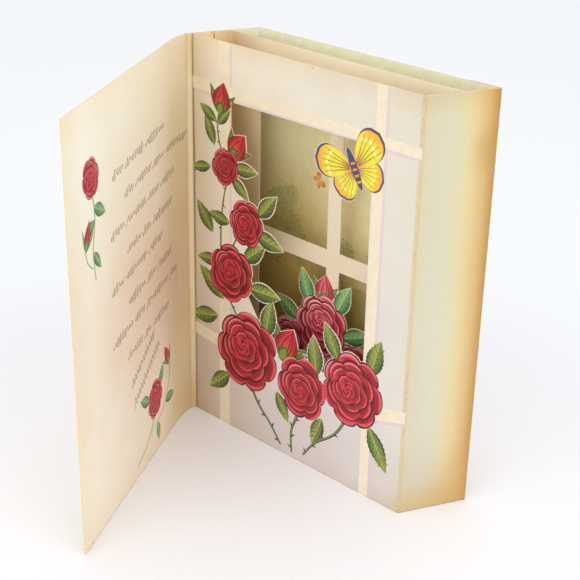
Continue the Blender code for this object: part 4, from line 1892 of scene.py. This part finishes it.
def garden_layers(left, start, end):
    """Soft sky, hedge, lawn, path and trees of small dabs."""
    sky = garden_ink(start, SKY_COVER)
    across = (end - left) / GARDEN_COLUMNS
    for row in range(GARDEN_ROWS):
        low = HEIGHT * row / GARDEN_ROWS
        for column in range(GARDEN_COLUMNS):
            near = left + across * column
            yield box_outline(near, near + across, low, low + HEIGHT / GARDEN_ROWS), sky
    foot = height_points(start, ((GARDEN_HEDGE_SHARES[-1][0], 0), (0, 0)))
    for shares, (code, cover) in ((GARDEN_HEDGE_SHARES, HEDGE_VEIL), (GARDEN_LAWN_SHARES, LAWN_VEIL)):
        top = smooth_line(height_points(start, shares))
        yield top + foot, veiled_ink(sky, tone(code), cover)
    way = smooth_line(height_points(start, GARDEN_PATH_SHARES))
    path = ribbon_outline(way, PATH_WIDTH_SHARE * HEIGHT, PATH_TAPER)
    yield path, veiled_ink(sky, tone(PATH_VEIL[0]), PATH_VEIL[1])
    chance = Random(len(GARDEN_CLUMP_SHARES))
    for *place, size, count in GARDEN_CLUMP_SHARES:
        centre = height_point(start, place)
        yield from crown_layers(centre, size * HEIGHT, count, sky, chance)
    yield from moth_layers(height_point(start, MOTH_PLACE))


def build_back_sheet(centre, stock):
    path = back_path()
    marks = crease_marks(path)
    outline = box_outline(0, marks[-1], 0, HEIGHT)
    materials = card_materials(
        "back", "outside", (BACK_ACROSS, BACK_UP), (BACK_OUTSIDE, BACK_OUTSIDE_UP),
        (), marks[1:-1], stock,
    )
    layers = garden_layers(marks[1] + MIDDLE_PLACE, marks[2], marks[-1])
    return printed_sheet(
        "printed_back_sheet", path, centre, outline, [], [], layers, 1, materials,
    )


def crease_ends():
    """Plan points where the solids of the strip and of the leaf end at their crease."""
    hinge = hinge_point()
    strip_end = hinge - heading(STRIP_HEADING) * CREASE_GAP
    return strip_end, leaf_path()[0]


def build_spine_crease(centre, stock):
    strip_end, leaf_end = crease_ends()
    ahead = (leaf_end - hinge_point()).normalized()
    path = [
        strip_end - heading(STRIP_HEADING) * CREASE_LAP,
        strip_end,
        hinge_point(),
        leaf_end,
        leaf_end + ahead * CREASE_LAP,
    ]
    marks = crease_marks(path)
    outline = box_outline(0, marks[-1], CREASE_INSET, HEIGHT - CREASE_INSET)
    face = card_face("crease_card", CREASE_ACROSS, BACK_UP, (), marks[2:3], False, stock)
    materials = (face, face, edge_face("crease_card_edge", stock))
    return printed_sheet(
        "spine_crease", path, centre, outline, [], [], [], 1, materials, CREASE_STOCK,
    )


def build_middle_sheet(centre, stock, sizes):
    path = middle_path()
    marks = crease_marks(path)
    start = marks[1]
    motifs = bouquet_outlines(start, MIDDLE_GROUND_SHARES, *MIDDLE_BOUQUET)
    outline = tab_outline(marks[-1], TAB_SNIP)
    wine = palette(WINE_TONES)
    layers = bouquet_layers(start, *MIDDLE_BOUQUET, wine, palette(SAGE_TONES), wine[2], sizes)
    face = (MIDDLE_ACROSS, MIDDLE_UP)
    materials = card_materials("middle", "back", face, face, (), marks[1:-1], stock)
    return printed_sheet(
        "printed_middle_sheet", path, centre, outline, pane_outlines(start), motifs, layers, 1,
        materials,
    )


def sprig_layers(tones, greens):
    for points, width in SPRIG_STEMS:
        line = smooth_line(height_points(0, points))
        yield ribbon_outline(line, width * HEIGHT, STEM_TAPER), plain_ink(greens[2])
    for *place, length, breadth, angle in SPRIG_LEAVES:
        foot = height_point(0, place)
        yield from leaf_layers(foot, length * HEIGHT, breadth * HEIGHT, radians(angle), greens)
    for *place, length, angle in SPRIG_BUDS:
        foot = height_point(0, place)
        size = length * HEIGHT
        turn = radians(angle)
        shapes = [(foot, size, size * SPRIG_BUD_SHARE, turn)]
        for opening in (-SEPAL_SPREAD, SEPAL_SPREAD):
            sepal = [size * share for share in SPRIG_SEPAL_SHARES]
            shapes.append((foot, *sepal, turn + opening))
        yield from bud_layers(shapes, tones, greens, tones[2])
    for *place, radius, petals, turn in SPRIG_BLOOMS:
        centre = height_point(0, place)
        yield from bloom_layers(centre, radius * HEIGHT, petals, radians(turn), tones)


def build_cover_leaf(centre, stock):
    path = leaf_path()
    marks = crease_marks(path)
    outline = box_outline(0, marks[-1], 0, HEIGHT)
    materials = card_materials(
        "leaf", "outside", (LEAF_ACROSS, LEAF_UP), (LEAF_OUTSIDE, LEAF_UP),
        LEAF_PATCHES, marks[:1], stock,
    )
    layers = sprig_layers(palette(SPRIG_ROSE), palette(SPRIG_GREEN))
    return printed_sheet(
        "printed_cover_leaf", path, centre, outline, [], [], layers, -1, materials,
    )


def pen_guide():
    """Straight guides of the pen strokes, flat on the blank of the leaf."""
    points = []
    for begin, up, lengths in PEN_LINES:
        for length in lengths:
            end = begin - length
            rise = length * PEN_SLOPE
            points += [(begin, up), (end, up + rise)]
            up += rise
            begin = end - PEN_GAP
    for ends in FLOURISHES:
        points += ends
    mesh = bpy.data.meshes.new("pen_guide")
    places = [(across * HEIGHT, up * HEIGHT, 0) for across, up in points]
    mesh.from_pydata(places, [(index, index + 1) for index in range(0, len(points), 2)], [])
    return placed("pen_guide", mesh)


def pen_tree(material):
    """Node tree that waves every guide and gives it the width of a pen."""
    tree = bpy.data.node_groups.new("Pen strokes", "GeometryNodeTree")
    face = tree.interface
    face.new_socket("Geometry", in_out="INPUT", socket_type="NodeSocketGeometry")
    for name in ("Wave Height", "Wave Length", "Line Width", "Ink Depth", "Step", "Seed"):
        face.new_socket(name, in_out="INPUT", socket_type="NodeSocketFloat")
    face.new_socket("Geometry", in_out="OUTPUT", socket_type="NodeSocketGeometry")
    given = add(tree, "NodeGroupInput").outputs

    def made(kind, inputs=(), **values):
        return add(tree, kind, inputs, **values).outputs[0]

    def summed(operation, *values):
        return made("ShaderNodeMath", values, operation=operation)

    def moved(operation, inputs):
        return made("ShaderNodeVectorMath", inputs, operation=operation)

    curve = made("GeometryNodeMeshToCurve", {"Mesh": given["Geometry"]})
    inputs = {"Curve": curve, "Length": given["Step"]}
    fine = made("GeometryNodeResampleCurve", inputs, mode="LENGTH")
    along = add(tree, "GeometryNodeSplineParameter").outputs["Length"]
    place = made("GeometryNodeInputPosition")
    inputs = {"Vector": place, "W": given["Seed"], "Scale": PEN_NOISE_SCALE, "Detail": 1}
    shake = made("ShaderNodeTexNoise", inputs, noise_dimensions="4D")
    turns = summed("DIVIDE", along, given["Wave Length"])
    wave = summed("SINE", summed("MULTIPLY_ADD", turns, tau, summed("MULTIPLY", shake, tau)))
    swell = spread(tree, shake, *PEN_NOISE_RANGE, *PEN_SWELL, "LINEAR")
    height = times(tree, times(tree, wave, swell), given["Wave Height"])
    ahead = made("GeometryNodeInputTangent")
    lift = moved("CROSS_PRODUCT", (ahead, (0, 0, 1)))
    slant = moved("MULTIPLY_ADD", (ahead, (PEN_SLANT, PEN_SLANT, 0), lift))
    offset = moved("SCALE", {"Vector": slant, "Scale": height})
    waved = made("GeometryNodeSetPosition", {"Geometry": fine, "Offset": offset})
    inputs = {"Width": given["Line Width"], "Height": given["Ink Depth"]}
    nib = made("GeometryNodeCurvePrimitiveQuadrilateral", inputs, mode="RECTANGLE")
    level = made("GeometryNodeSetCurveNormal", {"Curve": waved}, mode="Z_UP")
    inputs = {"Curve": level, "Profile Curve": nib, "Fill Caps": True}
    swept = made("GeometryNodeCurveToMesh", inputs)
    whole = made("GeometryNodeRealizeInstances", {"Geometry": swept})
    inked = made("GeometryNodeSetMaterial", {"Geometry": whole, "Material": material})
    add(tree, "NodeGroupOutput", {"Geometry": inked})
    return tree


def pen_material(colour):
    """Brown pen ink that pools and thins along the stroke."""
    material, tree, place = new_material("pen_ink")
    pool = grain(tree, place, POOL_GRAIN, 0, PEN_POOL_COVER)
    shade = blended(tree, pool, tuple(colour), tone(PEN_POOL_TONE))
    roughness = grain(tree, place, PEN_GLOSS_GRAIN, *PEN_GLOSS)
    surfaced(tree, shade, roughness, pool, PEN_RELIEF, PEN_RELIEF_DEPTH)
    return material


def build_pen_strokes(centre, pen):
    guide = pen_guide()
    tree = pen_tree(pen_material(pen.colour))
    modifier = guide.modifiers.new("Pen strokes", "NODES")
    modifier.node_group = tree
    values = {
        "Wave Height": pen.wave_height,
        "Wave Length": pen.wave_length,
        "Line Width": pen.width,
        "Ink Depth": pen.depth,
        "Step": PEN_STEP,
        "Seed": float(pen.seed),
    }
    for item in tree.interface.items_tree:
        if item.in_out == "INPUT" and item.name in values:
            modifier[item.identifier] = values[item.name]
    graph = bpy.context.evaluated_depsgraph_get()
    mesh = bpy.data.meshes.new_from_object(guide.evaluated_get(graph))
    mesh.name = "pen_strokes"
    bpy.data.objects.remove(guide, do_unlink=True)
    path = leaf_path()
    marks = crease_marks(path)
    for vert in mesh.vertices:
        mark, up, rise = vert.co
        place = folded_point(path, marks, mark, -STOCK * HALF + rise) - centre
        vert.co = (place[0], place[1], up)
    shape = bmesh.new()
    shape.from_mesh(mesh)
    bmesh.ops.recalc_face_normals(shape, faces=shape.faces)
    shape.to_mesh(mesh)
    shape.free()
    return placed("pen_strokes", mesh)


# studio

def seen_rays(tree):
    """One for rays of the camera, gloss and clear pieces, nothing for the light that falls."""
    rays = add(tree, "ShaderNodeLightPath").outputs
    total = rays["Is Camera Ray"]
    for name in ("Is Glossy Ray", "Is Transmission Ray"):
        inputs = (total, rays[name])
        total = add(tree, "ShaderNodeMath", inputs, operation="ADD", use_clamp=True).outputs[0]
    return total


def shown(tree, share, first, second, end):
    """Mix two shaders by a share and give them to the output node."""
    choice = add(tree, "ShaderNodeMixShader", (share, first, second))
    tree.links.new(choice.outputs["Shader"], tree.nodes[end].inputs["Surface"])


def floor_material(colour):
    """Pale sweep, a little warmer near the object."""
    material, tree, place = new_material("studio_floor")
    shader = tree.nodes["Principled BSDF"]
    away = add(tree, "ShaderNodeVectorMath", (place,), operation="LENGTH").outputs["Value"]
    near = spread(tree, away, *FLOOR_NEAR, 1, 0)
    shade = blended(tree, near, tone(FAR_FLOOR_TONE), tuple(colour))
    dust = grain(tree, place, FLOOR_GRAIN, 0, FLOOR_DUST_COVER)
    shade = blended(tree, dust, shade, tone(FLOOR_DUST_TONE))
    tree.links.new(shade, shader.inputs["Base Color"])
    shader.inputs["Roughness"].default_value = FLOOR_ROUGHNESS
    shader.inputs["Specular IOR Level"].default_value = FLOOR_GLOSS
    distant = spread(tree, away, *FLOOR_FAR, 0, 1)
    backdrop = blended(tree, distant, *palette(FLOOR_GLOW_TONES))
    glow = add(tree, "ShaderNodeEmission", {"Color": backdrop})
    far = times(tree, spread(tree, away, *FLOOR_SEEN, 0, 1), seen_rays(tree))
    shown(tree, far, shader.outputs["BSDF"], glow.outputs["Emission"], "Material Output")
    return material


def build_floor(colour):
    mesh = bpy.data.meshes.new("studio_floor")
    angles = [tau * index / FLOOR_SIDES for index in range(FLOOR_SIDES)]
    ring = [(FLOOR_REACH * cos(angle), FLOOR_REACH * sin(angle), 0) for angle in angles]
    mesh.from_pydata(ring, [], [tuple(range(FLOOR_SIDES))])
    mesh.materials.append(floor_material(colour))
    floor = placed("studio_floor", mesh)
    floor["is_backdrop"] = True


def build_sky(strength):
    """Even light all round; the camera and gloss see a pale backdrop."""
    world = bpy.data.worlds.new("studio")
    bpy.context.scene.world = world
    world.use_nodes = True
    tree = world.node_tree
    light = tree.nodes["Background"]
    light.inputs["Color"].default_value = (*linear(tone(SKY_TONE)), 1)
    light.inputs["Strength"].default_value = strength
    inputs = {"Color": (*linear(tone(BACKDROP_TONE)), 1), "Strength": 1}
    seen = add(tree, "ShaderNodeBackground", inputs)
    shaders = (light.outputs["Background"], seen.outputs["Background"])
    shown(tree, seen_rays(tree), *shaders, "World Output")


def aimed(place, aim, roll=0):
    """Placement of a camera or lamp that looks at a point."""
    place = Vector(place)
    ahead = (Vector(aim) - place).normalized()
    right = ahead.cross(Vector((0, 0, 1))).normalized()
    up = right.cross(ahead)
    turned_right = right * cos(roll) + up * sin(roll)
    turned_up = up * cos(roll) - right * sin(roll)
    axes = Matrix((turned_right, turned_up, -ahead)).transposed()
    return Matrix.Translation(place) @ axes.to_4x4()


def build_lamp(name, place, aim, size, power, colour):
    lamp = bpy.data.lights.new(name, "AREA")
    lamp.shape = "SQUARE"
    lamp.size = size
    lamp.energy = power
    lamp.color = linear(colour)
    placed(name, lamp).matrix_world = aimed(place, aim)


def build_camera():
    camera = bpy.data.cameras.new("camera")
    camera.lens = CAMERA_LENS
    camera.sensor_width = SENSOR_WIDTH
    camera.shift_x = CAMERA_SHIFT
    thing = placed("camera", camera)
    thing.matrix_world = aimed(CAMERA_PLACE, CAMERA_AIM, CAMERA_ROLL)
    bpy.context.scene.camera = thing


# operators: one for each piece and one for the studio

class CARD_OT_front_sheet(bpy.types.Operator):
    """Print, cut and fold the front sheet"""
    bl_idname = "card.front_sheet"
    bl_label = "Front sheet"

    def execute(self, context):
        scene = context.scene
        sheet = build_front_sheet(plan_centre(), scene.card_stock, scene.card_print)
        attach(sheet, "box")
        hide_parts("front_sheet")
        return {"FINISHED"}


class CARD_OT_middle_sheet(bpy.types.Operator):
    """Print, cut and fold the middle sheet"""
    bl_idname = "card.middle_sheet"
    bl_label = "Middle sheet"

    def execute(self, context):
        scene = context.scene
        sheet = build_middle_sheet(plan_centre(), scene.card_stock, scene.card_print)
        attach(sheet, "box")
        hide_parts("middle_sheet")
        return {"FINISHED"}


class CARD_OT_back_sheet(bpy.types.Operator):
    """Print and fold the back sheet"""
    bl_idname = "card.back_sheet"
    bl_label = "Back sheet"

    def execute(self, context):
        sheet = build_back_sheet(plan_centre(), context.scene.card_stock)
        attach(sheet, "box")
        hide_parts("back_sheet")
        return {"FINISHED"}


class CARD_OT_cover_leaf(bpy.types.Operator):
    """Print and fold the cover leaf"""
    bl_idname = "card.cover_leaf"
    bl_label = "Cover leaf"

    def execute(self, context):
        sheet = build_cover_leaf(plan_centre(), context.scene.card_stock)
        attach(sheet, "cover")
        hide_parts("cover_leaf")
        return {"FINISHED"}


class CARD_OT_spine_crease(bpy.types.Operator):
    """Join the spine strip and the cover leaf"""
    bl_idname = "card.spine_crease"
    bl_label = "Spine crease"

    def execute(self, context):
        centre = plan_centre()
        crease = build_spine_crease(centre, context.scene.card_stock)
        start, end = ((*(point - centre), HEIGHT * HALF) for point in crease_ends())
        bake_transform(crease)
        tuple(start)
        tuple(end)
        return {"FINISHED"}


class CARD_OT_pen_strokes(bpy.types.Operator):
    """Draw the pen strokes on the cover leaf"""
    bl_idname = "card.pen_strokes"
    bl_label = "Pen strokes"

    def execute(self, context):
        strokes = build_pen_strokes(plan_centre(), context.scene.card_pen)
        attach(strokes, "cover")
        return {"FINISHED"}


class CARD_OT_studio(bpy.types.Operator):
    """Set up the pale floor, the lamps and the camera"""
    bl_idname = "card.studio"
    bl_label = "Studio"

    def execute(self, context):
        studio = context.scene.card_studio
        context.scene.view_settings.view_transform = "Standard"
        build_floor(studio.floor)
        build_sky(studio.sky)
        build_lamp("key_lamp", KEY_PLACE, LAMP_AIM, KEY_SIZE, studio.key, tone(KEY_TONE))
        build_lamp("fill_lamp", FILL_PLACE, LAMP_AIM, FILL_SIZE, studio.fill, tone(FILL_TONE))
        build_camera()
        return {"FINISHED"}


OPERATORS = (
    CARD_OT_front_sheet,
    CARD_OT_middle_sheet,
    CARD_OT_back_sheet,
    CARD_OT_cover_leaf,
    CARD_OT_spine_crease,
    CARD_OT_pen_strokes,
    CARD_OT_studio,
)


class CARD_PT_panel(bpy.types.Panel):
    bl_label = "Pop up card"
    bl_idname = "CARD_PT_panel"
    bl_space_type = "VIEW_3D"
    bl_region_type = "UI"
    bl_category = "Card"

    def draw(self, context):
        for operator in OPERATORS:
            self.layout.operator(operator.bl_idname)
        for name in SETTINGS:
            settings = getattr(context.scene, name)
            box = self.layout.box()
            for key in settings.__annotations__:
                box.prop(settings, key)


SETTINGS = {
    "card_stock": CardStockSettings,
    "card_print": CardPrintSettings,
    "card_pen": PenStrokeSettings,
    "card_studio": StudioSettings,
}
CLASSES = (*SETTINGS.values(), *OPERATORS, CARD_PT_panel)


def register():
    for piece in CLASSES:
        bpy.utils.register_class(piece)
    for name, settings in SETTINGS.items():
        setattr(bpy.types.Scene, name, PointerProperty(type=settings))


def unregister():
    for name in SETTINGS:
        delattr(bpy.types.Scene, name)
    for piece in reversed(CLASSES):
        bpy.utils.unregister_class(piece)


def plain(bounds):
    return [[float(value) for value in corner] for corner in bounds]


def main():
    solid_size = plain(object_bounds())
    register()
    bpy.ops.card.front_sheet()
    bpy.ops.card.middle_sheet()
    bpy.ops.card.back_sheet()
    bpy.ops.card.cover_leaf()
    bpy.ops.card.spine_crease()
    bpy.ops.card.pen_strokes()
    bpy.ops.card.studio()
    bpy.context.view_layer.update()
    {"solids": solid_size, "visual": plain(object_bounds())}


if __name__ == "__main__":
    main()
